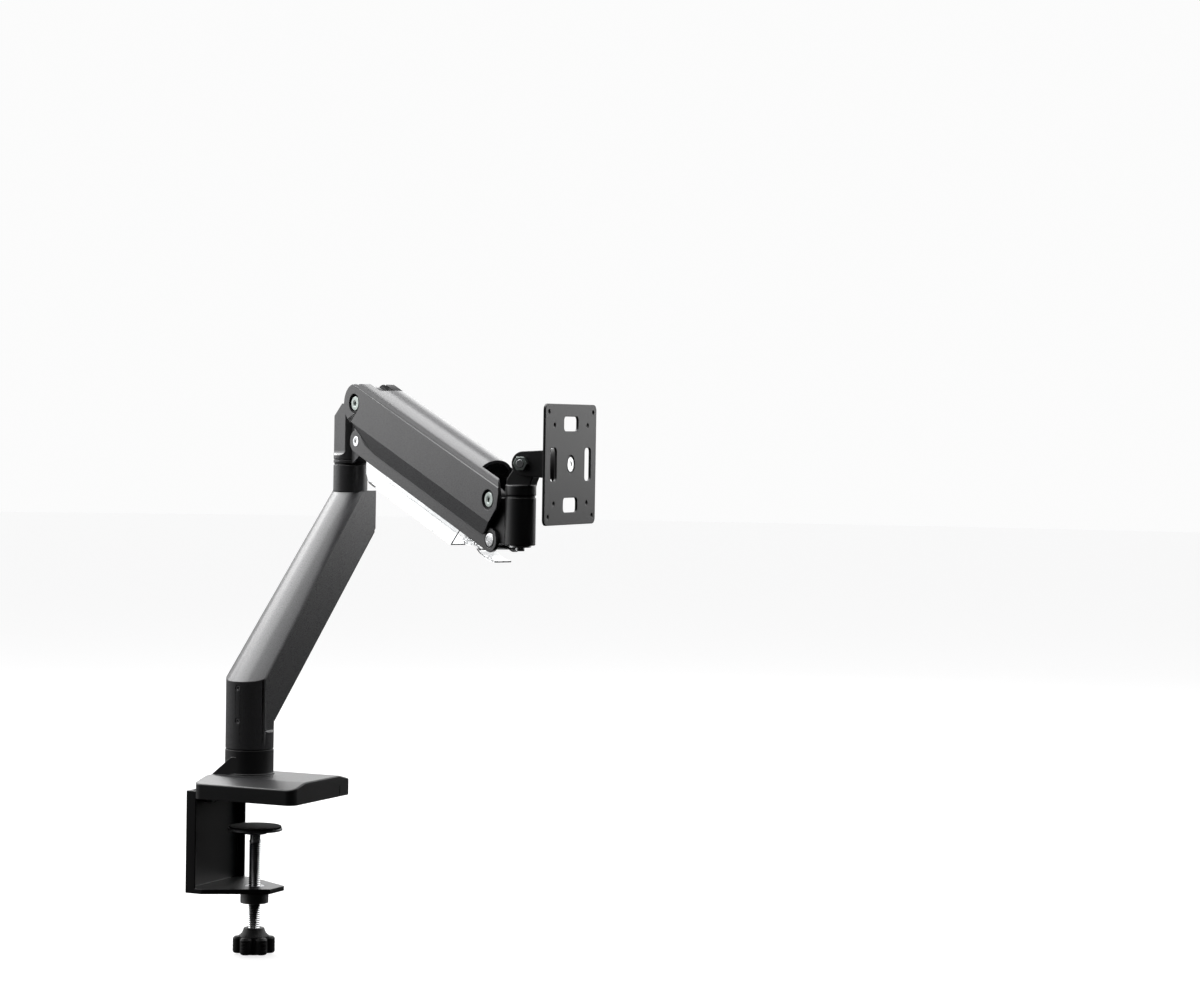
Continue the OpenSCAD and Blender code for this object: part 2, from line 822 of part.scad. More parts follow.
module pan_post() {
    color("#1c1c1e") at_pan() difference() {
        union() {
            translate([0, 0, -link_drop - 4]) cylinder(r = pan_pin_r, h = link_drop + 12);
            translate([0, 0, 4.8]) cylinder(r = 15, h = 10);
            side_plate(8) polygon([[-12, 12], [12, 12], [tilt_fwd + 9, 24], [tilt_fwd + 9, plate_up],
                                   [tilt_fwd - 9, plate_up], [-12, 20]]);
            translate([tilt_fwd, 0, plate_up]) across(9.5, -8, 8);
        }
        translate([tilt_fwd, 0, plate_up]) across(tilt_pin_r + run_gap, -30, 30);
        translate([0, 0, -link_drop - 5]) cylinder(r = 2.5, h = 16);
    }
}

module pan_retainer() {
    color("silver") at_pan() translate([0, 0, -link_drop - 4]) {
        translate([0, 0, -2]) cylinder(r = 11, h = 1.7);
        cylinder(r = 2.45, h = 13);
        rotate([180, 0, 0]) translate([0, 0, 5.6]) socket_head(4.6, 3.6, 2);
    }
}

module tilt_yoke() {
    front = plate_fwd - tilt_fwd;
    color("#1c1c1e") at_tilt() difference() {
        union() {
            side_walls(9.2, 14) {
                circle(r = 12);
                polygon([[0, -12], [front - 12, -14], [front - 12, 14], [0, 12]]);
            }
            translate([front - 16, -14, -14]) cube([7, 28, 28]);
            translate([front - 12, 0, 0]) rotate([0, 90, 0]) cylinder(r = 24, h = 7);
        }
        across(tilt_pin_r, -30, 30);
        translate([front - 30, 0, 0]) rotate([0, 90, 0]) cylinder(r = hub_pin_r + run_gap, h = 40);
    }
}

module tilt_bolt() {
    color("silver") at_tilt() {
        across(tilt_pin_r, -20.5, 14);
        translate([0, 18.5, 0]) rotate([-90, 0, 0]) socket_head(6.5, 4.5, 2.9);
    }
}

module tilt_nut() {
    color("silver") at_tilt() difference() {
        translate([0, -14, 0]) rotate([90, 0, 0]) cylinder(r = 7.5, h = 6, $fn = 6);
        across(tilt_pin_r, -30, 0);
    }
}

module tilt_washers() {
    color("#b0b0b0") at_tilt() for (s = [0, 180]) {
        rotate([0, 0, s]) difference() {
            across(8.5, 8.15, 9.2);
            across(tilt_pin_r + run_gap, 0, 30);
        }
    }
}

module vesa_plate() {
    half = plate_side / 2;
    corner = 6;
    color("#1c1c1e") at_plate() rotate([90, 0, 90]) difference() {
        translate([0, 0, -plate_t]) {
            for (x = [-1, 1], y = [-1, 1]) {
                translate([x * (half - corner), y * (half - corner), 0]) cylinder(r = corner, h = plate_t);
            }
            translate([-half, -half + corner, 0]) cube([2 * half, 2 * (half - corner), plate_t]);
            translate([-half + corner, -half, 0]) cube([2 * (half - corner), 2 * half, plate_t]);
        }
        for (d = [vesa_large, vesa_small], x = [-1, 1], y = [-1, 1]) {
            translate([x * d, y * d, -10]) cylinder(r = 2.3, h = 20);
        }
        for (a = [0:90:270]) {
            rotate([0, 0, a]) translate([-16, 32, -10]) cube([32, 14, 20]);
        }
        translate([0, 0, -10]) cylinder(r = 4.1, h = 20);
        translate([0, 0, -1]) cylinder(r = 9, h = 20);
    }
}

module hub_ring() {
    color("#101010") at_plate() rotate([0, -90, 0]) translate([0, 0, plate_t]) difference() {
        cylinder(r = 23, h = 2.3);
        translate([0, 0, -1]) cylinder(r = 4.2, h = 10);
    }
}

module hub_screw() {
    color("silver") at_plate() rotate([0, -90, 0]) {
        translate([0, 0, 1]) cylinder(r = hub_pin_r, h = 17);
        translate([0, 0, 0.2]) rotate([180, 0, 0]) socket_head(7, 0.8, 3);
    }
}

// ---------- every piece at rest ----------

base_casting();
base_plate();
base_screws();
base_pad();
post_spindle();
clamp_bracket();
clamp_bolts();
jaw_nut();
pressure_pad();
pad_rubber();
clamp_screw();
clamp_knob();
lower_arm();
lower_bush();
swivel_washer();
grub_screws();
lower_cable_cover();
elbow_bush();
elbow();
elbow_spindle();
elbow_washer();
elbow_retainer();
rear_pivot_bushes();
rear_link_bushes();
spring_carriage();
anchor_pin();
tension_screw();
spring_housing();
rear_pivot_shaft();
rear_pivot_screws();
front_pivot_shaft();
front_pivot_screws();
gas_cylinder();
rod_gland();
gas_rod();
rod_yoke();
lower_link();
rear_link_screws();
front_link_pin();
cable_tray();
cable_clip();
head_bracket();
front_pivot_bushes();
pan_bush();
pan_washer();
pan_post();
pan_retainer();
tilt_yoke();
tilt_bolt();
tilt_nut();
tilt_washers();
vesa_plate();
hub_ring();
hub_screw();
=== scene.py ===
import json
import math

import bmesh
import bpy
from mathutils import Matrix, Vector


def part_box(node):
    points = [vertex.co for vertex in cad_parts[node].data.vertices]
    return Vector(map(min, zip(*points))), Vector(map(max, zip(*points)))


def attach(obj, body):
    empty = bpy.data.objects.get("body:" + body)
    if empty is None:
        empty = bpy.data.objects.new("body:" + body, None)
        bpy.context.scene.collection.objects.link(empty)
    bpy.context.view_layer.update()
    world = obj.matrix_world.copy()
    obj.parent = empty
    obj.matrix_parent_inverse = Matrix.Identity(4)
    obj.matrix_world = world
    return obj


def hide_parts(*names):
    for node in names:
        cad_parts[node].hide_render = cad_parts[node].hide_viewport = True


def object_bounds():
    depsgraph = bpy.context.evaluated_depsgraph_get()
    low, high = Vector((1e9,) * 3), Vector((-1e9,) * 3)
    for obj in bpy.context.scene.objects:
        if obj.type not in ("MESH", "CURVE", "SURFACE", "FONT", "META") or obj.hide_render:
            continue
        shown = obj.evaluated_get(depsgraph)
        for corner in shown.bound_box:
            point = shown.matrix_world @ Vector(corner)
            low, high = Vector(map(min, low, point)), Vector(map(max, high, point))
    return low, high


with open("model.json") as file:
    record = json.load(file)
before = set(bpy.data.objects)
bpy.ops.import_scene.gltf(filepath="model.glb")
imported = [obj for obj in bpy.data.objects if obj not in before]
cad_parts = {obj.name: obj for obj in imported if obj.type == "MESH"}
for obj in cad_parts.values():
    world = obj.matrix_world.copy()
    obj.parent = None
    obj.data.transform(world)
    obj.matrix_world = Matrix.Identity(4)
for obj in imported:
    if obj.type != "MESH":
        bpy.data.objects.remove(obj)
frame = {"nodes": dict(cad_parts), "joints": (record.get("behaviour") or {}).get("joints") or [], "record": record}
cadLow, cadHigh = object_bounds()
print("frame loaded:", len(frame["nodes"]), "nodes")

# Every new piece is modelled in millimetres in its own frame, then set in place in metres.
mm = 0.001
joints = {joint["name"]: joint for joint in frame["joints"]}


def pivotOf(jointName):
    return Vector(joints[jointName]["pos_m"])


def frameAt(origin, forward, across):
    # x runs forward, y across and z up
    forward, across = forward.normalized(), across.normalized()
    axes = Matrix((forward, across, forward.cross(across))).transposed().to_4x4()
    return Matrix.Translation(origin) @ axes @ Matrix.Scale(mm, 4)


rearPivot, frontPivot = pivotOf("arm_lift"), pivotOf("head_level")
elbowAxis = pivotOf("elbow_swivel")
across = -Vector(joints["arm_lift"]["axis"])
level = Vector((-across.y, across.x, 0)) * -1
if level.dot(frontPivot - rearPivot) < 0:
    level.negate()
rowFrame = Matrix.Scale(mm, 4)
elbowFrame = frameAt(Vector((elbowAxis.x, elbowAxis.y, 0)), level, across)
armFrame = frameAt(rearPivot, frontPivot - rearPivot, across)
linkFrame = frameAt(pivotOf("link_swing"), frontPivot - rearPivot, across)
headFrame = frameAt(frontPivot, level, across)
panPoint = pivotOf("head_pan")
panFrame = frameAt(Vector((panPoint.x, panPoint.y, frontPivot.z)), Vector((0, -1, 0)), Vector((1, 0, 0)))
tiltFrame = frameAt(pivotOf("head_tilt"), Vector((0, -1, 0)), Vector((1, 0, 0)))
plateFrame = frameAt(pivotOf("plate_turn"), Vector((0, -1, 0)), Vector((1, 0, 0)))
armLength = (frontPivot - rearPivot).length / mm


# modelling tools

def deselectAll():
    if bpy.context.object is not None and bpy.context.object.mode == "EDIT":
        bpy.ops.object.mode_set(mode="OBJECT")
    bpy.ops.object.select_all(action="DESELECT")


def takeHold(piece):
    deselectAll()
    piece.select_set(True)
    bpy.context.view_layer.objects.active = piece
    return piece


def applyPlace():
    bpy.ops.object.transform_apply(location=True, rotation=True, scale=True)
    return bpy.context.object


def addBlock(low, high):
    low, high = Vector(low), Vector(high)
    deselectAll()
    bpy.ops.mesh.primitive_cube_add(size=1, location=(low + high) / 2)
    bpy.context.object.scale = high - low
    return applyPlace()


def addRod(radius, start, end, sides=72, endRadius=None):
    start, end = Vector(start), Vector(end)
    turn = (end - start).to_track_quat("Z", "Y").to_euler()
    deselectAll()
    bpy.ops.mesh.primitive_cone_add(
        vertices=sides, radius1=radius, radius2=radius if endRadius is None else endRadius,
        depth=(end - start).length, location=(start + end) / 2, rotation=turn)
    return applyPlace()


def addOutline(points, depth):
    # one vertex is extruded along the outline, then the outline is filled and extruded
    points = [Vector(point) for point in points]
    deselectAll()
    bpy.ops.mesh.primitive_plane_add(size=1, location=points[0])
    bpy.ops.object.mode_set(mode="EDIT")
    bpy.ops.mesh.select_mode(type="VERT")
    bpy.ops.mesh.select_all(action="SELECT")
    bpy.ops.mesh.merge(type="CENTER")
    for here, there in zip(points, points[1:]):
        bpy.ops.mesh.extrude_vertices_move(TRANSFORM_OT_translate={"value": there - here})
    bpy.ops.mesh.select_all(action="SELECT")
    bpy.ops.mesh.edge_face_add()
    bpy.ops.mesh.extrude_region_move(TRANSFORM_OT_translate={"value": depth})
    bpy.ops.mesh.select_all(action="SELECT")
    bpy.ops.mesh.normals_make_consistent(inside=False)
    bpy.ops.object.mode_set(mode="OBJECT")
    return applyPlace()


def sidePlate(points, y1, y2):
    # an outline in the side view, x and z, as thick as y1 to y2
    return addOutline([(x, y1, z) for x, z in points], (0, y2 - y1, 0))


def planPlate(points, z1, z2):
    # an outline seen from above, x and y, as high as z1 to z2
    return addOutline([(x, y, z1) for x, y in points], (0, 0, z2 - z1))


def arcPoints(x, y, radius, first, last, steps=12):
    angles = [math.radians(first + (last - first) * step / steps) for step in range(steps + 1)]
    return [(x + radius * math.cos(angle), y + radius * math.sin(angle)) for angle in angles]


def combine(piece, others, how):
    for other in others:
        takeHold(piece)
        change = piece.modifiers.new("shape", "BOOLEAN")
        change.operation, change.object, change.solver = how, other, "EXACT"
        bpy.ops.object.modifier_apply(modifier=change.name)
        bpy.data.objects.remove(other)
    return piece


def cut(piece, *cutters):
    return combine(piece, cutters, "DIFFERENCE")


def add(piece, *parts):
    return combine(piece, parts, "UNION")


def keepInside(piece, other):
    return combine(piece, [other], "INTERSECT")


def bevelEdges(piece, width, steps, test, rounding=0.5):
    # test takes an edge's middle, its direction and the normals of its faces
    takeHold(piece)
    bpy.ops.object.mode_set(mode="EDIT")
    bpy.ops.mesh.select_mode(type="EDGE")
    bpy.ops.mesh.select_all(action="DESELECT")
    mesh = bmesh.from_edit_mesh(piece.data)
    for edge in mesh.edges:
        middle = (edge.verts[0].co + edge.verts[1].co) / 2
        along = (edge.verts[1].co - edge.verts[0].co).normalized()
        if test(middle, along, [face.normal for face in edge.link_faces]):
            edge.select_set(True)
    bmesh.update_edit_mesh(piece.data)
    bpy.ops.mesh.bevel(offset=width, segments=steps, profile=rounding, affect="EDGES")
    bpy.ops.object.mode_set(mode="OBJECT")
    return piece


def softenEdges(piece, width, steps=3, sharpest=30):
    # merges what the cuts left, then rounds every sharp edge by a small amount
    takeHold(piece)
    bpy.ops.object.mode_set(mode="EDIT")
    bpy.ops.mesh.select_all(action="SELECT")
    bpy.ops.mesh.remove_doubles(threshold=width / 20)
    bpy.ops.mesh.dissolve_limited(angle_limit=math.radians(0.5))
    bpy.ops.object.mode_set(mode="OBJECT")
    edge = piece.modifiers.new("edge", "BEVEL")
    edge.width, edge.segments = width, steps
    edge.limit_method, edge.angle_limit = "ANGLE", math.radians(sharpest)
    edge.use_clamp_overlap = False
    bpy.ops.object.modifier_apply(modifier=edge.name)
    smooth(piece)
    return piece


def smooth(piece, sharpest=38):
    takeHold(piece)
    bpy.ops.object.shade_smooth_by_angle(angle=math.radians(sharpest))
    even = piece.modifiers.new("even", "WEIGHTED_NORMAL")
    even.keep_sharp = True
    bpy.ops.object.modifier_apply(modifier=even.name)
    return piece


def setPiece(piece, name, place, body, finish, *nodes):
    takeHold(piece)
    piece.matrix_world = place
    applyPlace()
    piece.name = piece.data.name = name
    piece.data.materials.clear()
    piece.data.materials.append(finishes[finish])
    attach(piece, body)
    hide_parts(*nodes)
    print("built", name, len(piece.data.polygons), "faces")
    return piece


# camera, as far away and as long as the view of the object needs

viewPoint = {"place": (-2.58015, -1.54737, 0.37467), "azimuth": 65.65, "pitch": -1.42, "roll": 0.94, "lens": 90}


def setCamera():
    bpy.ops.object.camera_add(location=viewPoint["place"])
    camera = bpy.context.object
    azimuth, pitch = math.radians(viewPoint["azimuth"]), math.radians(viewPoint["pitch"])
    ahead = Vector((math.sin(azimuth) * math.cos(pitch), math.cos(azimuth) * math.cos(pitch), math.sin(pitch)))
    camera.rotation_mode = "QUATERNION"
    upright = ahead.to_track_quat("-Z", "Y")
    camera.rotation_quaternion = upright @ Matrix.Rotation(math.radians(viewPoint["roll"]), 4, "Z").to_quaternion()
    camera.data.lens = viewPoint["lens"]
    camera.data.sensor_width = 36
    camera.data.sensor_fit = "HORIZONTAL"
    camera.data.clip_start, camera.data.clip_end = 0.01, 100
    bpy.context.scene.camera = camera
    print("camera set")


setCamera()

# finishes

def newFinish(name):
    material = bpy.data.materials.new(name)
    material.use_nodes = True
    nodes, links = material.node_tree.nodes, material.node_tree.links
    place = nodes.new("ShaderNodeTexCoord")
    return material, nodes, links, nodes["Principled BSDF"], place.outputs["Object"]


def grainOf(nodes, links, place, size, detail=2, stretch=(1, 1, 1)):
    # noise whose features are about size metres across
    turn = nodes.new("ShaderNodeMapping")
    turn.inputs["Scale"].default_value = stretch
    noise = nodes.new("ShaderNodeTexNoise")
    noise.inputs["Scale"].default_value = 1 / size
    noise.inputs["Detail"].default_value = detail
    links.new(place, turn.inputs["Vector"])
    links.new(turn.outputs["Vector"], noise.inputs["Vector"])
    return noise.outputs["Fac"]


def blendOf(nodes, links, amount, first, second):
    ramp = nodes.new("ShaderNodeValToRGB")
    ramp.color_ramp.elements[0].position, ramp.color_ramp.elements[1].position = 0.3, 0.7
    ramp.color_ramp.elements[0].color = (*first, 1)
    ramp.color_ramp.elements[1].color = (*second, 1)
    links.new(amount, ramp.inputs["Fac"])
    return ramp.outputs["Color"]


def rangeOf(nodes, links, amount, low, high):
    span = nodes.new("ShaderNodeMapRange")
    span.inputs["From Min"].default_value, span.inputs["From Max"].default_value = 0.3, 0.7
    span.inputs["To Min"].default_value, span.inputs["To Max"].default_value = low, high
    links.new(amount, span.inputs["Value"])
    return span.outputs["Result"]


def bumpOf(nodes, links, amount, strength, depth):
    bump = nodes.new("ShaderNodeBump")
    bump.inputs["Strength"].default_value = strength
    bump.inputs["Distance"].default_value = depth
    links.new(amount, bump.inputs["Height"])
    return bump.outputs["Normal"]


def coatFinish(name, look):
    # powder coat: tiny round lumps, slightly uneven colour and sheen
    material, nodes, links, shader, place = newFinish(name)
    lumps = grainOf(nodes, links, place, look["lumpSize"], 1)
    clouds = grainOf(nodes, links, place, look["cloudSize"], 3)
    links.new(blendOf(nodes, links, clouds, look["dark"], look["light"]), shader.inputs["Base Color"])
    links.new(rangeOf(nodes, links, lumps, *look["roughness"]), shader.inputs["Roughness"])
    links.new(bumpOf(nodes, links, lumps, look["bump"], look["lumpSize"] * 0.2), shader.inputs["Normal"])
    shader.inputs["Specular IOR Level"].default_value = look["shine"]
    return material


def metalFinish(name, look):
    # turned or plated steel with fine streaks
    material, nodes, links, shader, place = newFinish(name)
    streaks = grainOf(nodes, links, place, look["streakSize"], 3, look["stretch"])
    clouds = grainOf(nodes, links, place, look["cloudSize"], 2)
    links.new(blendOf(nodes, links, clouds, look["dark"], look["light"]), shader.inputs["Base Color"])
    links.new(rangeOf(nodes, links, streaks, *look["roughness"]), shader.inputs["Roughness"])
    links.new(bumpOf(nodes, links, streaks, look["bump"], look["streakSize"] * 0.1), shader.inputs["Normal"])
    shader.inputs["Metallic"].default_value = 1
    return material


def clearFinish(name, look):
    # polished clear plastic, a little uneven as moulded
    material, nodes, links, shader, place = newFinish(name)
    waves = grainOf(nodes, links, place, look["waveSize"], 1)
    links.new(rangeOf(nodes, links, waves, *look["roughness"]), shader.inputs["Roughness"])
    links.new(bumpOf(nodes, links, waves, look["bump"], look["waveSize"] * 0.05), shader.inputs["Normal"])
    shader.inputs["Base Color"].default_value = (*look["tint"], 1)
    shader.inputs["Transmission Weight"].default_value = 1
    shader.inputs["IOR"].default_value = look["bending"]
    return material


finishes = {
    "satin_grey": coatFinish("satinGrey", {
        "dark": (0.062, 0.062, 0.065), "light": (0.070, 0.070, 0.073), "lumpSize": 0.0006, "cloudSize": 0.04,
        "roughness": (0.24, 0.33), "bump": 0.2, "shine": 0.5}),
    "cast_black": coatFinish("castBlack", {
        "dark": (0.014, 0.014, 0.015), "light": (0.018, 0.018, 0.019), "lumpSize": 0.0006, "cloudSize": 0.05,
        "roughness": (0.34, 0.46), "bump": 0.22, "shine": 0.5}),
    "satin_black": coatFinish("satinBlack", {
        "dark": (0.009, 0.009, 0.010), "light": (0.012, 0.012, 0.013), "lumpSize": 0.0005, "cloudSize": 0.05,
        "roughness": (0.34, 0.44), "bump": 0.2, "shine": 0.5}),
    "black_plastic": coatFinish("grainedPlastic", {
        "dark": (0.012, 0.012, 0.012), "light": (0.016, 0.016, 0.017), "lumpSize": 0.0009, "cloudSize": 0.03,
        "roughness": (0.45, 0.6), "bump": 0.45, "shine": 0.45}),
    "rubber": coatFinish("rubber", {
        "dark": (0.010, 0.010, 0.010), "light": (0.017, 0.017, 0.016), "lumpSize": 0.0012, "cloudSize": 0.02,
        "roughness": (0.75, 0.9), "bump": 0.5, "shine": 0.3}),
    "bearing_plastic": coatFinish("bearingPlastic", {
        "dark": (0.60, 0.57, 0.50), "light": (0.66, 0.63, 0.56), "lumpSize": 0.0008, "cloudSize": 0.02,
        "roughness": (0.35, 0.5), "bump": 0.15, "shine": 0.5}),
    "plain_steel": metalFinish("plainSteel", {
        "dark": (0.30, 0.30, 0.31), "light": (0.40, 0.40, 0.41), "streakSize": 0.0008, "stretch": (1, 1, 5),
        "cloudSize": 0.02, "roughness": (0.32, 0.48), "bump": 0.3}),
    "bright_steel": metalFinish("brightSteel", {
        "dark": (0.66, 0.67, 0.68), "light": (0.76, 0.77, 0.78), "streakSize": 0.0005, "stretch": (1, 1, 8),
        "cloudSize": 0.015, "roughness": (0.16, 0.28), "bump": 0.12}),
    "zinc_screws": metalFinish("zincScrews", {
        "dark": (0.31, 0.35, 0.33), "light": (0.42, 0.46, 0.44), "streakSize": 0.0006, "stretch": (1, 1, 3),
        "cloudSize": 0.006, "roughness": (0.26, 0.40), "bump": 0.2}),
    "clear_plastic": clearFinish("clearPlastic", {
        "tint": (0.97, 0.98, 0.985), "waveSize": 0.02, "roughness": (0.02, 0.06), "bump": 0.1, "bending": 1.49}),
}
print("finishes made:", len(finishes))

# base casting with its post and gussets

base = {
    "cornerRadius": 9, "cornerSteps": 10, "sideTop": 15.8, "crest": 33.5, "floor": 0.5, "topRound": 1.6,
    "postRadius": 24.2, "postTop": 46.6, "footRadius": 25.2, "footTop": 23.3, "wall": 3, "hollowTop": 6.1,
    "boreRadius": 14, "boreFloor": 7, "gussetThick": 3, "gussetX": 22.7, "tongueWidth": 30.4,
    "screwX": 42, "screwY": (-66, 14), "screwRadius": 2.5, "screwTop": 13,
    "slitX": 34, "slitTop": 11.5, "slitSize": 0.35, "edge": 0.45,
}


def buildBase(size):
    low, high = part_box("base_casting")
    low, high = low / mm, high / mm
    crestTop = 21.7
    piece = addBlock((low.x, low.y, size["floor"]), (high.x, high.y, crestTop))
    takeHold(piece)
    bpy.ops.object.mode_set(mode="EDIT")
    for crestX in (-size["crest"], size["crest"]):
        bpy.ops.mesh.select_all(action="SELECT")
        bpy.ops.mesh.bisect(plane_co=(crestX, 0, 0), plane_no=(1, 0, 0))
    bpy.ops.mesh.select_mode(type="VERT")
    bpy.ops.mesh.select_all(action="DESELECT")
    mesh = bmesh.from_edit_mesh(piece.data)
    for vert in mesh.verts:
        vert.select_set(abs(vert.co.x) > size["crest"] + 1 and vert.co.z > size["sideTop"])
    mesh.select_flush_mode()
    bpy.ops.transform.translate(value=(0, 0, size["sideTop"] - crestTop))
    bpy.ops.object.mode_set(mode="OBJECT")
    bevelEdges(piece, size["cornerRadius"], size["cornerSteps"],
               lambda middle, along, normals: abs(along.z) > 0.9 and abs(middle.x) > size["crest"] + 1)
    bevelEdges(piece, size["topRound"], 4,
               lambda middle, along, normals: any(n.z > 0.9 for n in normals) and any(abs(n.z) < 0.1 for n in normals))
    bevelEdges(piece, 2.5, 2, lambda middle, along, normals: abs(along.y) > 0.9
               and all(n.z > 0.9 for n in normals) and abs(abs(middle.x) - size["crest"]) < 1)
    wall = size["wall"]
    hollow = addBlock((low.x + wall, low.y + wall, -1), (high.x - wall, high.y - wall, size["hollowTop"]))
    bevelEdges(hollow, size["cornerRadius"] - wall, 6, lambda middle, along, normals: abs(along.z) > 0.9)
    tongue = addBlock((-size["tongueWidth"], 0, -1), (size["tongueWidth"], high.y + 1, size["hollowTop"] + 0.3))
    slit = addBlock((size["slitX"] - size["slitSize"], low.y - 1, -1),
                    (size["slitX"] + size["slitSize"], low.y + size["slitSize"] * 2, size["slitTop"]))
    cut(piece, hollow, tongue, slit)
    foot = addRod(size["footRadius"], (0, 0, 10), (0, 0, size["footTop"]), 96)
    post = addRod(size["postRadius"], (0, 0, 10), (0, 0, size["postTop"]), 96)
    add(piece, foot, post)
    for side in (-1, 1):
        x = side * size["gussetX"]
        outline = [(0, 12), (28, 14), (28, crestTop + 0.6), (7, crestTop + 18), (0, crestTop + 18)]
        half = size["gussetThick"] / 2
        gusset = addOutline([(x - half, y, z) for y, z in outline], (2 * half, 0, 0))
        add(piece, gusset)
    cut(piece, addRod(size["boreRadius"], (0, 0, size["boreFloor"]), (0, 0, 60), 64))
    for x in (-size["screwX"], size["screwX"]):
        for y in size["screwY"]:
            cut(piece, addRod(size["screwRadius"], (x, y, 0), (x, y, size["screwTop"]), 24))
    softenEdges(piece, size["edge"])
    return setPiece(piece, "baseCasting", rowFrame, "base", "cast_black", "base_casting")


buildBase(base)

# lower arm: bottom cylinder, slanted crowned body, elbow cylinder

lowerArm = {
    "bottomRadius": 24, "seam": 47.6, "flatWidth": 22.4, "taper": 0.0237, "flatFloor": 64, "flatRound": 3,
    "crownStart": 136.72, "crownRise": 0.905, "crownDepth": 10.5, "crownSteps": 24,
    "underStart": 67, "underRise": 0.866, "end": 224.5, "shelf": 302,
    "elbowX": 198.5, "elbowRadius": 18, "elbowTop": 329, "bushRadius": 17, "bushTop": 117.6,
    "elbowBore": 14, "elbowBoreFloor": 285, "clearBore": 9, "clearFloor": 225,
    "grubHeights": (76, 109), "grubRadius": 2.5, "grooveDepth": 0.9, "grooveWidth": 1.1, "edge": 0.5,
}


def armHalfWidth(x, size=lowerArm):
    return size["flatWidth"] - size["taper"] * x


def crownSection(x, size=lowerArm):
    # the upright section at x: underside, flat side, groove, then the crown
    half = armHalfWidth(x)
    crown = size["crownStart"] + size["crownRise"] * x
    crease = crown - size["crownDepth"]
    under = size["underStart"] + size["underRise"] * x
    inset = half - 0.25
    right = [(half, under), (half, crease - size["grooveWidth"]),
             (half - size["grooveDepth"], crease - size["grooveWidth"] * 0.5), (inset, crease)]
    # the crown is a round arc that meets the sides at a crease
    radius = (inset ** 2 + size["crownDepth"] ** 2) / (2 * size["crownDepth"])
    reach = math.degrees(math.asin(inset / radius))
    crownPoints = arcPoints(0, crown - radius, radius, 90 - reach, 90 + reach, size["crownSteps"])[1:-1]
    left = [(-y, z) for y, z in reversed(right)]
    return [(x, y, z) for y, z in right + crownPoints + left]


def buildLowerArm(size):
    first, last = crownSection(-size["bottomRadius"]), crownSection(size["end"])
    piece = addOutline(first, (size["end"] + size["bottomRadius"], 0, 0))
    takeHold(piece)
    bpy.ops.object.mode_set(mode="EDIT")
    mesh = bmesh.from_edit_mesh(piece.data)
    # the far end of the extrusion is moved point by point to the section there
    for vert in mesh.verts:
        if vert.co.x > 0:
            index = min(range(len(first)), key=lambda k: (Vector(first[k][1:]) - Vector(vert.co[1:])).length)
            vert.co = last[index]
    bmesh.update_edit_mesh(piece.data)
    bpy.ops.object.mode_set(mode="OBJECT")
    inside = addBlock((0, -40, size["seam"]), (size["end"], 40, size["shelf"]))
    add(inside, addRod(size["bottomRadius"], (0, 0, size["seam"]), (0, 0, 200), 120))
    keepInside(piece, inside)
    bottom = addRod(size["bottomRadius"], (0, 0, size["seam"]), (0, 0, 113), 120)
    for side in (-1, 1):
        near, far = armHalfWidth(-size["bottomRadius"]), armHalfWidth(size["bottomRadius"])
        flat = planPlate([(-24, side * near), (24, side * far), (24, side * 40), (-24, side * 40)],
                         size["flatFloor"], 140)
        bevelEdges(flat, size["flatRound"], 6, lambda middle, along, normals:
                   abs(middle.z - size["flatFloor"]) < 0.01 and abs(middle.y) < 30 and abs(along.x) > 0.9)
        cut(bottom, flat)
    add(piece, bottom)
    add(piece, addRod(size["elbowRadius"], (size["elbowX"], 0, 301), (size["elbowX"], 0, size["elbowTop"]), 96))
    cut(piece, addRod(size["bushRadius"], (0, 0, 40), (0, 0, size["bushTop"]), 64))
    cut(piece, addRod(size["elbowBore"], (size["elbowX"], 0, size["elbowBoreFloor"]), (size["elbowX"], 0, 345), 64))
    cut(piece, addRod(size["clearBore"], (size["elbowX"], 0, size["clearFloor"]), (size["elbowX"], 0, 305), 48))
    for height in size["grubHeights"]:
        cut(piece, addRod(size["grubRadius"], (-25, 0, height), (-16, 0, height), 32))
    # cable channel, open below
    slope = math.atan(size["underRise"])
    channel = addBlock((64, -12.6, -5), (268, 12.6, 31))
    channel.matrix_world = Matrix.Translation((0, 0, size["underStart"])) @ Matrix.Rotation(-slope, 4, "Y")
    takeHold(channel)
    cut(piece, applyPlace())
    softenEdges(piece, size["edge"])
    return setPiece(piece, "lowerArm", rowFrame, "lower_arm", "satin_grey", "lower_arm")


buildLowerArm(lowerArm)

# elbow: round below, flat sides with a sloped top, and the tongue that carries both pivots

elbow = {
    "radius": 18, "seam": 331, "flatWidth": 14, "flatFloor": 339, "flatRound": 5, "tongue": 8,
    "pivotX": 38.4, "pivotZ": 393.5, "linkX": 36.4, "linkZ": 354, "edge": 0.5,
}


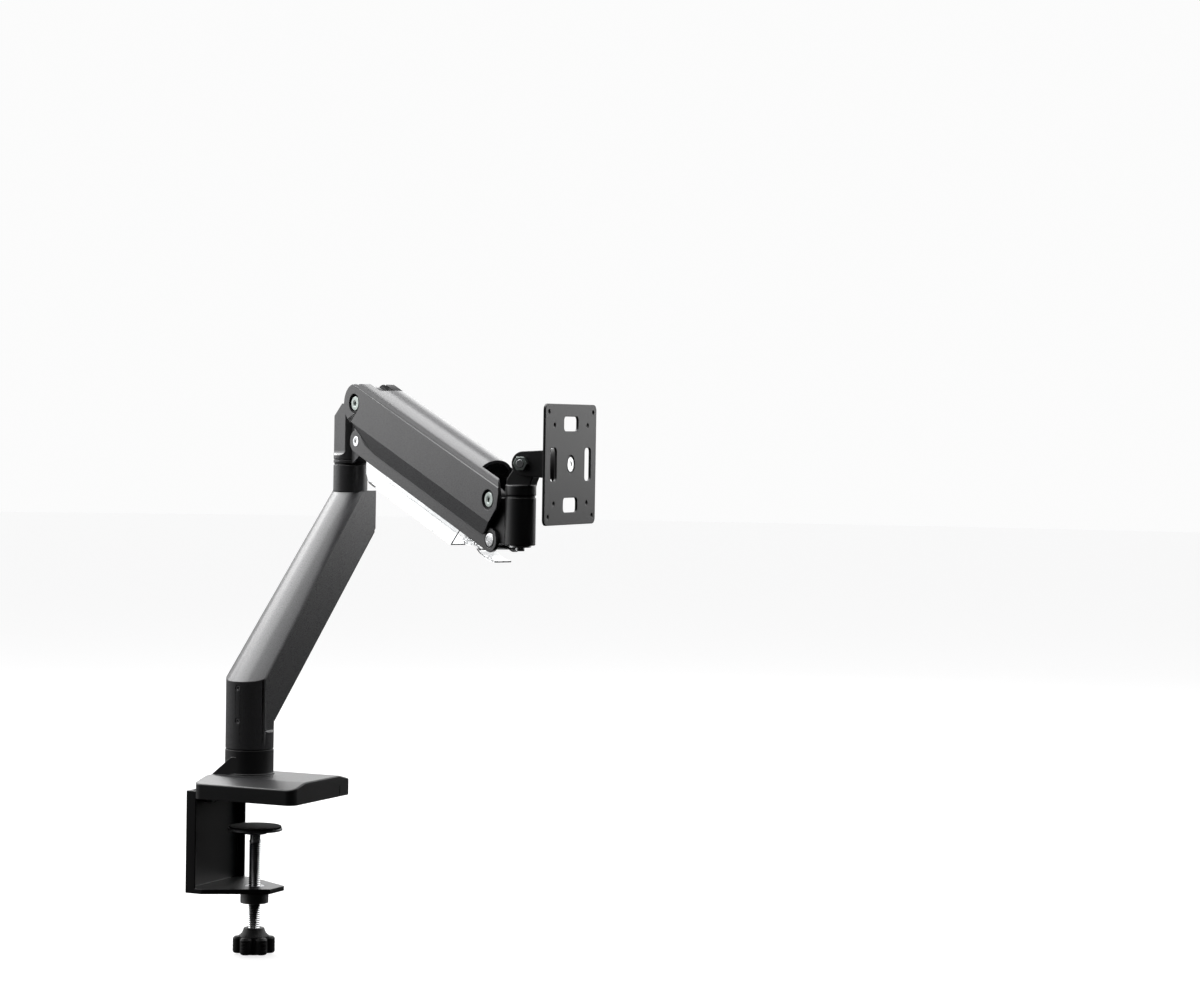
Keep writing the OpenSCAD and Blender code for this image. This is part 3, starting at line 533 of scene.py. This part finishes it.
def buildElbow(size):
    pivotX, pivotZ, seam = size["pivotX"], size["pivotZ"], size["seam"]
    piece = addRod(size["radius"], (0, 0, seam), (0, 0, 400), 96)
    for side in (-1, 1):
        flat = addBlock((-30, min(side * size["flatWidth"], side * 40), size["flatFloor"]),
                        (30, max(side * size["flatWidth"], side * 40), 420))
        bevelEdges(flat, size["flatRound"], 8, lambda middle, along, normals:
                   abs(middle.z - size["flatFloor"]) < 0.01 and abs(middle.y) < 30 and abs(along.x) > 0.9)
        cut(piece, flat)
    cut(piece, sidePlate([(-40, 356.3), (4, pivotZ + 0.3), (40, pivotZ + 0.3), (40, 440), (-40, 440)], -30, 30))
    groove = addRod(19, (0, 0, seam + 3.2), (0, 0, seam + 4.0), 96)
    cut(groove, addRod(17.3, (0, 0, seam), (0, 0, seam + 8), 96))
    cut(piece, groove)
    tongue = sidePlate([(0, seam + 0.01), (17.9, seam + 0.01), (42, pivotZ - 47.8), (46.2, pivotZ - 41),
                        (56.2, pivotZ - 3), (38, pivotZ + 10), (29.2, pivotZ + 15.5), (4, pivotZ + 0.29),
                        (0, pivotZ)], -size["tongue"], size["tongue"])
    add(tongue, addRod(18, (pivotX, -size["tongue"] + 0.01, pivotZ), (pivotX, size["tongue"] - 0.01, pivotZ), 96))
    add(tongue, addRod(10, (size["linkX"], -size["tongue"] + 0.02, size["linkZ"]),
                       (size["linkX"], size["tongue"] - 0.02, size["linkZ"]), 72))
    add(piece, tongue)
    cut(piece, addRod(11, (0, 0, seam - 5), (0, 0, seam + 17), 64))
    cut(piece, addRod(7, (pivotX, -30, pivotZ), (pivotX, 30, pivotZ), 48))
    cut(piece, addRod(5.5, (size["linkX"], -30, size["linkZ"]), (size["linkX"], 30, size["linkZ"]), 48))
    cut(piece, addBlock((19.6, -30, pivotZ - 30), (43.4, 30, pivotZ - 9)))
    cut(piece, addRod(4.05, (25, 0, pivotZ - 34), (25, 0, pivotZ + 26), 32))
    cut(piece, addRod(6.4, (25, 0, pivotZ + 5), (25, 0, pivotZ + 25), 48))
    softenEdges(piece, size["edge"])
    return setPiece(piece, "elbowCasting", elbowFrame, "elbow", "satin_grey", "elbow")


buildElbow(elbow)

# spring housing: the upper arm's shell

housing = {
    "halfWidth": 20, "crease": 17, "crown": 31.5, "ledge": 0.8, "bandTop": -20, "bandWidth": 17.6, "bandLow": -37,
    "innerWidth": 16.4, "innerCrease": 14, "innerCrown": 28, "endRadius": 20.5, "slotWidth": 14, "slotEnd": 32,
    "recessRadius": 10, "recessFloor": 16.2, "bossRadius": 12.5, "boreRadius": 5, "frontOpen": 25, "edge": 0.45, "bandEdge": 0.6,
}


def housingSection(size, half, crease, crown, ledge, bandTop, bandWidth, low):
    inset = half - ledge
    points = [(half, crease), (inset, crease + ledge)]
    steps = 28
    for step in range(1, steps):
        angle = math.pi * step / steps
        points.append((inset * math.cos(angle), crease + ledge + (crown - crease - ledge) * math.sin(angle)))
    points += [(-inset, crease + ledge), (-half, crease), (-half, bandTop), (-bandWidth, low),
               (bandWidth, low), (half, bandTop)]
    return points


def buildHousing(size):
    length = armLength
    outer = housingSection(size, size["halfWidth"], size["crease"], size["crown"], size["ledge"],
                           size["bandTop"], size["bandWidth"], size["bandLow"])
    inner = housingSection(size, size["innerWidth"], size["innerCrease"], size["innerCrown"], 0.1,
                           size["bandTop"], size["innerWidth"], -60)
    piece = addOutline([(-30, y, z) for y, z in outer], (length + 60, 0, 0))
    radius = size["endRadius"]
    outline = [(0, 22), (16, 27.5), (34, 31.6), (258, 31.6), (276, 27), (286, 14), (length + 17.2, -2)]
    outline += arcPoints(length - 2.5, -29.5, 7, -22, -90, 5) + arcPoints(54, -28.5, 8, -90, -112, 3)
    outline += [(32, -34.2)] + arcPoints(30.4, -25.8, 7, -150, -165, 2)
    outline += arcPoints(0, 0, radius, -75, -270, 36)[1:]
    limit = sidePlate(outline, -40, 40)
    keepInside(piece, limit)
    hollow = addOutline([(-40, y, z) for y, z in inner], (length + 80, 0, 0))
    slotWidth = size["slotWidth"]
    slot = planPlate([(-40, -slotWidth)] + arcPoints(size["slotEnd"], 0, slotWidth, -90, 90, 16)
                     + [(-40, slotWidth)], 0, 60)
    front = addBlock((length - size["frontOpen"], -size["innerWidth"], 0), (length + 40, size["innerWidth"], 60))
    cut(piece, hollow, slot, front)
    for x in (0, length):
        for side in (-1, 1):
            add(piece, addRod(size["bossRadius"], (x, side * 12.1, 0), (x, side * 17.3, 0), 72))
            cut(piece, addRod(size["recessRadius"], (x, side * size["recessFloor"], 0), (x, side * 40, 0), 72))
        cut(piece, addRod(size["boreRadius"], (x, -30, 0), (x, 30, 0), 48))
    # the edge between side and band is so blunt that it needs its own narrow rounding
    bevelEdges(piece, size["bandEdge"], 2, lambda middle, along, normals: abs(along.x) > 0.9
               and abs(middle.z - size["bandTop"]) < 0.05 and abs(abs(middle.y) - size["halfWidth"]) < 0.05)
    softenEdges(piece, size["edge"])
    return setPiece(piece, "springHousing", armFrame, "upper_arm", "satin_grey", "spring_housing")


buildHousing(housing)

# lower link of the parallelogram

link = {
    "inner": 12.2, "outer": 15.9, "halfHeight": 12, "floorThick": 2.5, "floorStart": 26, "floorEnd": 20,
    "pinRadius": 4, "rearRecess": 5.8, "frontRecess": 8, "recessDepth": 1.5, "edge": 0.7,
}


def buildLink(size):
    tall, length = size["halfHeight"], armLength
    outline = arcPoints(0, 0, tall, 90, 270, 24) + arcPoints(length, 0, tall, -90, 90, 24)
    walls = [sidePlate(outline, *sorted((side * size["inner"], side * size["outer"]))) for side in (-1, 1)]
    for wall in walls:
        bevelEdges(wall, size["edge"], 3, lambda middle, along, normals:
                   abs(abs(middle.y) - size["outer"]) < 0.01 and abs(along.y) < 0.1)
    piece = addBlock((size["floorStart"], -size["outer"] + 1, -tall + 0.1),
                     (length - size["floorEnd"], size["outer"] - 1, -tall + size["floorThick"]))
    add(piece, *walls)
    for x, recess in ((0, size["rearRecess"]), (length, size["frontRecess"])):
        for side in (-1, 1):
            floor = side * (size["outer"] - size["recessDepth"])
            cut(piece, addRod(recess, (x, floor, 0), (x, side * 40, 0), 64))
        cut(piece, addRod(size["pinRadius"], (x, -30, 0), (x, 30, 0), 48))
    softenEdges(piece, 0.4)
    return setPiece(piece, "lowerLink", linkFrame, "link", "satin_grey", "lower_link")


buildLink(link)

# helpers for the turned and the small pieces

def addTurned(profile, sides=64):
    # profile: radius and height of each point, from the axis back to the axis
    points = [Vector((radius, 0, height)) for radius, height in profile]
    deselectAll()
    bpy.ops.mesh.primitive_plane_add(size=1, location=points[0])
    bpy.ops.object.mode_set(mode="EDIT")
    bpy.ops.mesh.select_mode(type="VERT")
    bpy.ops.mesh.select_all(action="SELECT")
    bpy.ops.mesh.merge(type="CENTER")
    for here, there in zip(points, points[1:]):
        bpy.ops.mesh.extrude_vertices_move(TRANSFORM_OT_translate={"value": there - here})
    bpy.ops.mesh.select_all(action="SELECT")
    bpy.ops.mesh.spin(steps=sides, angle=2 * math.pi, center=(0, 0, 0), axis=(0, 0, 1))
    bpy.ops.mesh.select_all(action="SELECT")
    bpy.ops.mesh.remove_doubles(threshold=0.001)
    bpy.ops.mesh.normals_make_consistent(inside=False)
    bpy.ops.object.mode_set(mode="OBJECT")
    return applyPlace()


def moved(piece, spot, turn=0, axis="X"):
    takeHold(piece)
    piece.matrix_world = Matrix.Translation(spot) @ Matrix.Rotation(math.radians(turn), 4, axis)
    return applyPlace()


def faceAcross(piece, side, spot):
    # turns a piece made along z so that its face looks across the arm
    return moved(piece, spot, -90 * side)


def joinAll(pieces):
    takeHold(pieces[0])
    for piece in pieces[1:]:
        piece.select_set(True)
    bpy.ops.object.join()
    return bpy.context.object


def softCopy(nodeName, name, width, body, finish, sharpest=30):
    # a machined or pressed piece: the frame's own shape with its edges rounded
    node = frame["nodes"][nodeName]
    piece = bpy.data.objects.new(name, node.data.copy())
    bpy.context.collection.objects.link(piece)
    takeHold(piece)
    piece.scale = (1 / mm, 1 / mm, 1 / mm)
    applyPlace()
    bpy.ops.object.mode_set(mode="EDIT")
    bpy.ops.mesh.select_all(action="SELECT")
    bpy.ops.mesh.remove_doubles(threshold=0.002)
    bpy.ops.mesh.dissolve_limited(angle_limit=math.radians(1))
    bpy.ops.object.mode_set(mode="OBJECT")
    softenEdges(piece, width, 2, sharpest)
    return setPiece(piece, name, rowFrame, body, finish, nodeName)


# screws in the pivots

screwLooks = {
    "pivot": {"radius": 7.6, "height": 2.7, "face": 18.9, "stem": 2.5, "stemStart": 6, "key": 2.6, "rim": 0.9},
    "link": {"radius": 5.6, "height": 1.8, "face": 16.2, "stem": 4, "stemStart": 0.2, "key": 2.2, "rim": 0.5},
    "pin": {"radius": 7.2, "height": 1.9, "face": 16.3, "stem": 4, "crescentRadius": 3.1, "crescentShift": 1.3},
    "grub": {"radius": 2.4, "length": 9.3, "start": -23.4, "key": 1.3, "keyDepth": 2.5},
}


def buildHead(look):
    # a head whose face is at z = 0, with a rounded rim, a shallow dish and a hexagon socket
    rim, radius, low = look["rim"], look["radius"], -look["height"]
    corner = [(radius - rim + rim * math.sin(a), -rim + rim * math.cos(a))
              for a in (math.radians(step * 18) for step in range(6))]
    dish = look["key"] + 1.1
    piece = addTurned([(0, -0.3), (dish - 0.35, -0.3), (dish, 0)] + corner + [(radius, low), (0, low)], 64)
    return cut(piece, addRod(look["key"], (0, 0, -look["height"] * 0.6), (0, 0, 1), 6))


def buildSocketPair(look, name, place, x, body, finish, node):
    parts = []
    for side in (-1, 1):
        parts.append(faceAcross(buildHead(look), side, (x, side * look["face"], 0)))
        parts.append(addRod(look["stem"], (x, side * look["stemStart"], 0),
                            (x, side * (look["face"] - look["height"]), 0), 32))
    piece = joinAll(parts)
    softenEdges(piece, 0.12, 2)
    setPiece(piece, name, place, body, finish, node)


def buildPinHeads(look):
    parts = [addRod(look["stem"], (armLength, -14.4, 0), (armLength, 14.4, 0), 32)]
    for side in (-1, 1):
        radius, low = look["radius"], -look["height"]
        head = addTurned([(0, 0), (radius - 1.2, -0.1), (radius - 0.4, -0.4), (radius, -0.9), (radius, low), (0, low)])
        hollow = addRod(look["crescentRadius"], (-2.2, 0, -0.5), (-2.2, 0, 1), 40)
        cut(hollow, addRod(look["crescentRadius"], (-2.2 + look["crescentShift"], 0, -1), 
                           (-2.2 + look["crescentShift"], 0, 2), 40))
        cut(head, hollow)
        parts.append(faceAcross(head, side, (armLength, side * look["face"], 0)))
    piece = joinAll(parts)
    softenEdges(piece, 0.12, 2)
    setPiece(piece, "frontLinkPin", linkFrame, "link", "bright_steel", "front_link_pin")


def buildGrubScrews(look):
    parts = []
    for height in lowerArm["grubHeights"]:
        screw = addRod(look["radius"], (look["start"], 0, height), (look["start"] + look["length"], 0, height), 32)
        cut(screw, addRod(look["key"], (look["start"] - 1, 0, height),
                          (look["start"] + look["keyDepth"], 0, height), 6))
        parts.append(screw)
    piece = joinAll(parts)
    softenEdges(piece, 0.2, 2)
    setPiece(piece, "grubScrews", rowFrame, "lower_arm", "plain_steel", "grub_screws")


buildSocketPair(screwLooks["pivot"], "rearPivotScrews", armFrame, 0, "upper_arm", "zinc_screws", "rear_pivot_screws")
buildSocketPair(screwLooks["pivot"], "frontPivotScrews", armFrame, armLength, "upper_arm", "zinc_screws",
                "front_pivot_screws")
buildSocketPair(screwLooks["link"], "rearLinkScrews", linkFrame, 0, "link", "bright_steel", "rear_link_screws")
buildPinHeads(screwLooks["pin"])
buildGrubScrews(screwLooks["grub"])

# clear cable tray under the link, and the clear clip with its latch in front of it

tray = {
    "halfWidth": 13, "wall": 1.6, "top": -12.05, "floor": -33, "start": 22, "end": 214, "lip": 3.2, "lipThick": 1.2,
    "edge": 0.5,
}


def buildTray(size):
    half, wall, top, floor = size["halfWidth"], size["wall"], size["top"], size["floor"]
    outline = [(size["start"], top), (size["start"] + 5, top - 14)]
    outline += arcPoints(size["start"] + 16, floor + 9, 9, 208, 270, 6)
    outline += [(size["end"] - 10, floor), (size["end"], top)]
    piece = sidePlate(outline, -half, half)
    cut(piece, addBlock((-10, wall - half, floor + wall), (size["end"] + 20, half - wall, 0)))
    for side in (-1, 1):
        low, high = sorted((side * (half - 0.4), side * (half - size["lip"])))
        add(piece, addBlock((size["start"] + 2, low, top - size["lipThick"]), (size["end"] - 2, high, top - 0.01)))
    softenEdges(piece, size["edge"])
    return setPiece(piece, "cableTray", linkFrame, "link", "clear_plastic", "cable_tray")


clip = {
    "halfWidth": 10, "legX": 238, "top": -12.05, "floor": -23, "tipX": 278, "thick": 1.5,
    "latchX": 221, "latchZ": -20.5, "latchRadius": 4.6, "latchHalf": 8, "edge": 0.4,
}


def buildClip(size):
    half, thick, top, floor = size["halfWidth"], size["thick"], size["top"], size["floor"]
    # leg down from the link, then a lip that curves up towards the screen
    lip = arcPoints(262, 40, 62, 258, 286, 9)
    lipDrop = floor - min(z for x, z in lip)
    outer = [(x, z + lipDrop) for x, z in lip]
    inner = [(x, z + thick) for x, z in reversed(outer)]
    profile = [(236, top), (240, floor + 4)] + outer + inner + [(246, floor + 6), (246, top)]
    piece = sidePlate(profile, -half, half)
    cut(piece, addBlock((242.4, 2.2 - half, floor + 4.6), (250, half - 2.2, top + 2)))
    eye = addRod(size["latchRadius"], (size["latchX"], -size["latchHalf"], size["latchZ"]),
                 (size["latchX"], size["latchHalf"], size["latchZ"]), 48)
    web = sidePlate([(212, top), (229, top), (225, size["latchZ"] - 2), (217, size["latchZ"] - 2)], -6.5, 6.5)
    hook = sidePlate([(212, size["latchZ"] + 1), (208, size["latchZ"] - 5), (222, size["latchZ"] - 5.8),
                      (228, size["latchZ"] - 2)], -4, 4)
    add(eye, web, hook)
    cut(eye, addRod(2, (size["latchX"], -30, size["latchZ"]), (size["latchX"], 30, size["latchZ"]), 32))
    bridge = addBlock((226, -3, top - 1.6), (240, 3, top - 0.02))
    add(piece, bridge)
    add(piece, eye)
    softenEdges(piece, size["edge"])
    return setPiece(piece, "cableClip", linkFrame, "link", "clear_plastic", "cable_clip")


buildTray(tray)
buildClip(clip)

# cover strip along the underside of the lower arm, with a window at each end for the cables

cover = {
    "start": 8, "end": 294, "thick": (-1.9, -0.05), "inset": 0.3, "windows": ((66, 90), (244, 267)),
    "windowHalf": 10, "ribStart": 92, "ribEnd": 240, "ribY": 11, "ribHalf": 0.8, "ribTop": 5, "edge": 0.45,
}


def buildCover(size):
    slope = math.atan(lowerArm["underRise"])
    low, high = size["thick"]
    nearHalf = armHalfWidth(size["start"]) - size["inset"]
    endHalf = armHalfWidth(lowerArm["end"]) - size["inset"]
    piece = planPlate([(size["start"], -nearHalf), (size["end"], -endHalf), (size["end"], endHalf),
                       (size["start"], nearHalf)], low, high)
    for side in (-1, 1):
        y = side * size["ribY"]
        add(piece, addBlock((size["ribStart"], y - size["ribHalf"], -0.5),
                            (size["ribEnd"], y + size["ribHalf"], size["ribTop"])))
    for first, last in size["windows"]:
        half, corner = size["windowHalf"], 3
        window = addBlock((first, -half, -5), (last, half, 5))
        bevelEdges(window, corner, 5, lambda middle, along, normals: abs(along.z) > 0.9)
        cut(piece, window)
    takeHold(piece)
    piece.matrix_world = (Matrix.Translation((0, 0, lowerArm["underStart"]))
                          @ Matrix.Rotation(-slope, 4, "Y"))
    applyPlace()
    cut(piece, addRod(lowerArm["bottomRadius"] + 0.3, (0, 0, 0), (0, 0, 200), 120))
    softenEdges(piece, size["edge"])
    return setPiece(piece, "lowerCableCover", rowFrame, "lower_arm", "black_plastic", "lower_cable_cover")


buildCover(cover)

# clamp: screw with its thread, knob, pads, nut and bracket

clamp = {
    "screwY": -8, "screwRadius": 6, "screwLow": -154, "screwHigh": -35, "pitch": 2, "threadDepth": 0.7,
    "knobLow": -158, "knobRadius": 15, "knobHigh": -132, "lobes": 6, "lobeRadius": 6, "lobeHigh": -140,
    "padTop": -30, "edge": 0.5,
}


def buildClampScrew(size):
    radius, low, high = size["screwRadius"], size["screwLow"], size["screwHigh"]
    profile = [(0, low), (radius - 1, low), (radius, low + 1), (radius, low + 22)]
    for turn in range(int((high - low - 32) / size["pitch"])):
        z = low + 22 + turn * size["pitch"]
        profile += [(radius - size["threadDepth"], z + size["pitch"] / 2), (radius, z + size["pitch"] * 0.9),
                    (radius, z + size["pitch"])]
    profile += [(radius - 0.8, high - 8), (radius - 0.8, high), (0, high)]
    piece = addTurned(profile, 40)
    cut(piece, addRod(3, (0, 0, low - 1), (0, 0, low + 5), 6))
    moved(piece, (0, size["screwY"], 0))
    smooth(piece, 30)
    setPiece(piece, "clampScrew", rowFrame, "clamp_screw", "bright_steel", "clamp_screw")


def buildKnob(size):
    radius, low, high = size["knobRadius"], size["knobLow"], size["knobHigh"]
    profile = [(0, low), (radius - 3, low), (radius, low + 3), (radius, high - 8), (radius - 3, high - 5),
               (radius - 5, high), (0, high)]
    piece = addTurned(profile, 72)
    lobe = size["lobeRadius"]
    for turn in range(size["lobes"]):
        angle = 2 * math.pi * turn / size["lobes"]
        grip = addTurned([(0, low + 0.8), (lobe - 2, low + 0.8), (lobe - 0.6, low + 1.4), (lobe, low + 3),
                          (lobe, size["lobeHigh"] - 2.5), (lobe - 1.6, size["lobeHigh"] - 0.5),
                          (0, size["lobeHigh"])], 32)
        add(piece, moved(grip, (radius * math.cos(angle), radius * math.sin(angle), 0)))
    cut(piece, addRod(size["screwRadius"], (0, 0, low + 4), (0, 0, high + 10), 48))
    cut(piece, addRod(4, (0, 0, low - 1), (0, 0, low + 6), 32))
    for ring in range(3):
        z = low + 6 + ring * 3.5
        groove = addRod(30, (0, 0, z), (0, 0, z + 0.7), 72)
        cut(groove, addRod(radius + lobe - 0.6, (0, 0, z - 1), (0, 0, z + 2), 72))
        cut(piece, groove)
    moved(piece, (0, size["screwY"], 0))
    softenEdges(piece, size["edge"], 2)
    setPiece(piece, "clampKnob", rowFrame, "clamp_screw", "black_plastic", "clamp_knob")


def buildPads(size):
    top = size["padTop"]
    plate = addTurned([(0, top - 8), (11, top - 8), (12, top - 7), (12, top - 6), (24, top - 4.9), (26.5, top - 4.5),
                       (27, top - 4), (27, top - 2.6), (26.4, top - 2), (0, top - 2)], 80)
    cut(plate, addRod(6.05, (0, 0, top - 9), (0, 0, top - 4), 48))
    moved(plate, (0, size["screwY"], 0))
    smooth(plate)
    setPiece(plate, "pressurePad", rowFrame, "clamp_pad", "plain_steel", "pressure_pad")
    rubberPad = addTurned([(0, top - 1.99), (25.6, top - 1.99), (26, top - 1.6), (26, top - 0.5), (25.5, top - 0.05),
                           (24, top), (23, top - 0.5), (22, top), (0, top)], 80)
    moved(rubberPad, (0, size["screwY"], 0))
    smooth(rubberPad)
    setPiece(rubberPad, "padRubber", rowFrame, "clamp_pad", "rubber", "pad_rubber")


buildClampScrew(clamp)
buildKnob(clamp)
buildPads(clamp)
softCopy("clamp_bracket", "clampBracket", 0.7, "base", "satin_black")
softCopy("jaw_nut", "jawNut", 0.6, "base", "plain_steel")
softCopy("clamp_bolts", "clampBolts", 0.3, "base", "zinc_screws")
softCopy("base_plate", "basePlate", 0.4, "base", "plain_steel")
softCopy("base_pad", "basePad", 0.4, "base", "rubber")

# screen plate: pressed steel with rounded corners, slots and two squares of holes

plate = {
    "half": 58, "corner": 6, "thick": 2.6, "hole": 2.3, "squares": (50, 37.5), "slotNear": 32, "slotFar": 46,
    "slotHalf": 16, "slotCorner": 4, "bore": 4.1, "dish": 9, "edge": 0.5,
}


def roundedBox(yLow, yHigh, zLow, zHigh, corner, steps=5):
    points = []
    for y, z, first in ((yHigh - corner, zHigh - corner, 0), (yLow + corner, zHigh - corner, 90),
                        (yLow + corner, zLow + corner, 180), (yHigh - corner, zLow + corner, 270)):
        points += arcPoints(y, z, corner, first, first + 90, steps)
    return points


def buildPlate(size):
    half, thick = size["half"], size["thick"]
    piece = addOutline([(-thick, y, z) for y, z in roundedBox(-half, half, -half, half, size["corner"], 8)],
                       (thick, 0, 0))
    for square in size["squares"]:
        for y in (-square, square):
            for z in (-square, square):
                cut(piece, addRod(size["hole"], (-9, y, z), (9, y, z), 28))
    for turn in range(4):
        slot = addOutline([(-9, y, z) for y, z in roundedBox(-size["slotHalf"], size["slotHalf"], size["slotNear"],
                                                             size["slotFar"], size["slotCorner"])], (18, 0, 0))
        cut(piece, moved(slot, (0, 0, 0), 90 * turn))
    cut(piece, addRod(size["bore"], (-9, 0, 0), (9, 0, 0), 40))
    cut(piece, addRod(size["dish"], (-1, 0, 0), (9, 0, 0), 56))
    softenEdges(piece, size["edge"], 3)
    setPiece(piece, "screenPlate", plateFrame, "screen_plate", "satin_black", "vesa_plate")


buildPlate(plate)
for nodeName, name, width, body, finish in (
        ("head_bracket", "headBracket", 1, "head", "cast_black"),
        ("pan_post", "panPost", 0.9, "pan", "cast_black"),
        ("tilt_yoke", "tiltYoke", 0.9, "tilt", "cast_black"),
        ("hub_ring", "hubRing", 0.6, "screen_plate", "black_plastic"),
        ("tilt_bolt", "tiltBolt", 0.4, "tilt", "bright_steel"),
        ("tilt_nut", "tiltNut", 0.4, "tilt", "zinc_screws"),
        ("hub_screw", "hubScrew", 0.2, "screen_plate", "bright_steel"),
        ("elbow_washer", "elbowWasher", 0.3, "elbow", "black_plastic"),
        ("tension_screw", "tensionScrew", 0.4, "tension_screw", "bright_steel"),
        ("gas_cylinder", "gasCylinder", 0.8, "upper_arm", "satin_black"),
        ("rod_yoke", "rodYoke", 0.6, "gas_rod", "plain_steel"),
        ("spring_carriage", "springCarriage", 0.6, "elbow", "plain_steel")):
    softCopy(nodeName, name, width, body, finish)

# the frame's own pieces that stay get their finish by the record's slots

slotOf = {part["node"]: part["material_slot"] for part in frame["record"]["subparts"]}
for nodeName, node in frame["nodes"].items():
    finish = finishes[slotOf[nodeName]]
    for index in range(len(node.material_slots)):
        node.material_slots[index].material = finish
print("frame pieces finished")

# stage

stageSize = {
    "floor": 14, "gap": 0.0006, "paper": (0.30, 0.30, 0.303), "paperRoughness": 0.9, "paperGlow": 0.76,
    "skyLow": 0.012, "skyHigh": 0.85, "skyTurn": (0.45, 0.75, 0.48), "groundShare": 0.12, "backdrop": 0.97,
    "lights": (
        {"name": "overheadBox", "place": (0.15, 0.9, 2.0), "size": (1.8, 1.5), "power": 47},
        {"name": "wallBox", "place": (-0.2, 2.6, 0.95), "size": (3.0, 1.5), "power": 20},
        {"name": "frontTopBox", "place": (0.3, -0.55, 2.0), "size": (1.7, 1.7), "power": 24},
        {"name": "frontSideBox", "place": (0.95, -1.7, 1.6), "size": (1.5, 1.2), "power": 9},
        {"name": "highWallBox", "place": (1.05, 1.55, 1.6), "size": (1.3, 0.9), "power": 20},
        {"name": "farBox", "place": (2.4, 1.3, 1.45), "size": (2.2, 1.6), "power": 22},
        {"name": "sideFill", "place": (2.5, -1.25, 0.9), "size": (1.8, 1.4), "power": 16},
    ),
    "aim": (0.1, -0.1, 0.3),
}


def setLights(look):
    for light in look["lights"]:
        bpy.ops.object.light_add(type="AREA", location=light["place"])
        lamp = bpy.context.object
        lamp.name = light["name"]
        lamp.data.shape = "RECTANGLE"
        lamp.data.size, lamp.data.size_y = light["size"]
        lamp.data.energy = light["power"]
        lamp.visible_camera = False
        aim = Vector(look["aim"]) - Vector(light["place"])
        lamp.rotation_euler = aim.to_track_quat("-Z", "Y").to_euler()


def setSky(look):
    # brighter towards the back and above, dark towards the viewer, so the round pieces get soft bands
    world = bpy.data.worlds.new("studio")
    world.use_nodes = True
    nodes, links = world.node_tree.nodes, world.node_tree.links
    sky = nodes["Background"]
    place = nodes.new("ShaderNodeTexCoord")
    toward = nodes.new("ShaderNodeVectorMath")
    toward.operation = "DOT_PRODUCT"
    toward.inputs[1].default_value = look["skyTurn"]
    links.new(place.outputs["Generated"], toward.inputs[0])
    span = nodes.new("ShaderNodeMapRange")
    span.interpolation_type = "SMOOTHSTEP"
    span.inputs["From Min"].default_value, span.inputs["From Max"].default_value = -0.25, 0.85
    span.inputs["To Min"].default_value, span.inputs["To Max"].default_value = look["skyLow"], look["skyHigh"]
    links.new(toward.outputs["Value"], span.inputs["Value"])
    split, ground = nodes.new("ShaderNodeSeparateXYZ"), nodes.new("ShaderNodeMapRange")
    links.new(place.outputs["Generated"], split.inputs["Vector"])
    ground.inputs["From Min"].default_value, ground.inputs["From Max"].default_value = -0.10, 0.05
    ground.inputs["To Min"].default_value, ground.inputs["To Max"].default_value = look["groundShare"], 1
    links.new(split.outputs["Z"], ground.inputs["Value"])
    both = nodes.new("ShaderNodeMath")
    both.operation = "MULTIPLY"
    links.new(span.outputs["Result"], both.inputs[0])
    links.new(ground.outputs["Result"], both.inputs[1])
    links.new(both.outputs["Value"], sky.inputs["Strength"])
    sky.inputs["Color"].default_value = (1, 1, 1, 1)
    backdrop = nodes.new("ShaderNodeBackground")
    backdrop.inputs["Color"].default_value = (1, 1, 1, 1)
    backdrop.inputs["Strength"].default_value = look["backdrop"]
    seen, blend = nodes.new("ShaderNodeLightPath"), nodes.new("ShaderNodeMixShader")
    direct = nodes.new("ShaderNodeMath")
    direct.operation = "MAXIMUM"
    links.new(seen.outputs["Is Camera Ray"], direct.inputs[0])
    links.new(seen.outputs["Is Transmission Ray"], direct.inputs[1])
    links.new(direct.outputs["Value"], blend.inputs["Fac"])
    links.new(sky.outputs["Background"], blend.inputs[1])
    links.new(backdrop.outputs["Background"], blend.inputs[2])
    links.new(blend.outputs["Shader"], nodes["World Output"].inputs["Surface"])
    bpy.context.scene.world = world


def setStage(look):
    deselectAll()
    bpy.ops.mesh.primitive_circle_add(vertices=96, radius=look["floor"], fill_type="NGON",
                                      location=(0, 0, cadLow.z - look["gap"]))
    floor = bpy.context.object
    floor.name = "floor"
    paper = bpy.data.materials.new("palePaper")
    paper.use_nodes = True
    shader = paper.node_tree.nodes["Principled BSDF"]
    shader.inputs["Base Color"].default_value = (*look["paper"], 1)
    shader.inputs["Roughness"].default_value = look["paperRoughness"]
    shader.inputs["Emission Color"].default_value = (1, 1, 1, 1)
    shader.inputs["Emission Strength"].default_value = look["paperGlow"]
    floor.data.materials.append(paper)
    # the paper stays out of the object's reflections, which keeps its undersides dark
    floor.visible_glossy = floor.visible_diffuse = False
    setSky(look)
    setLights(look)
    bpy.context.scene.view_settings.view_transform = "Standard"
    print("stage set")


setStage(stageSize)
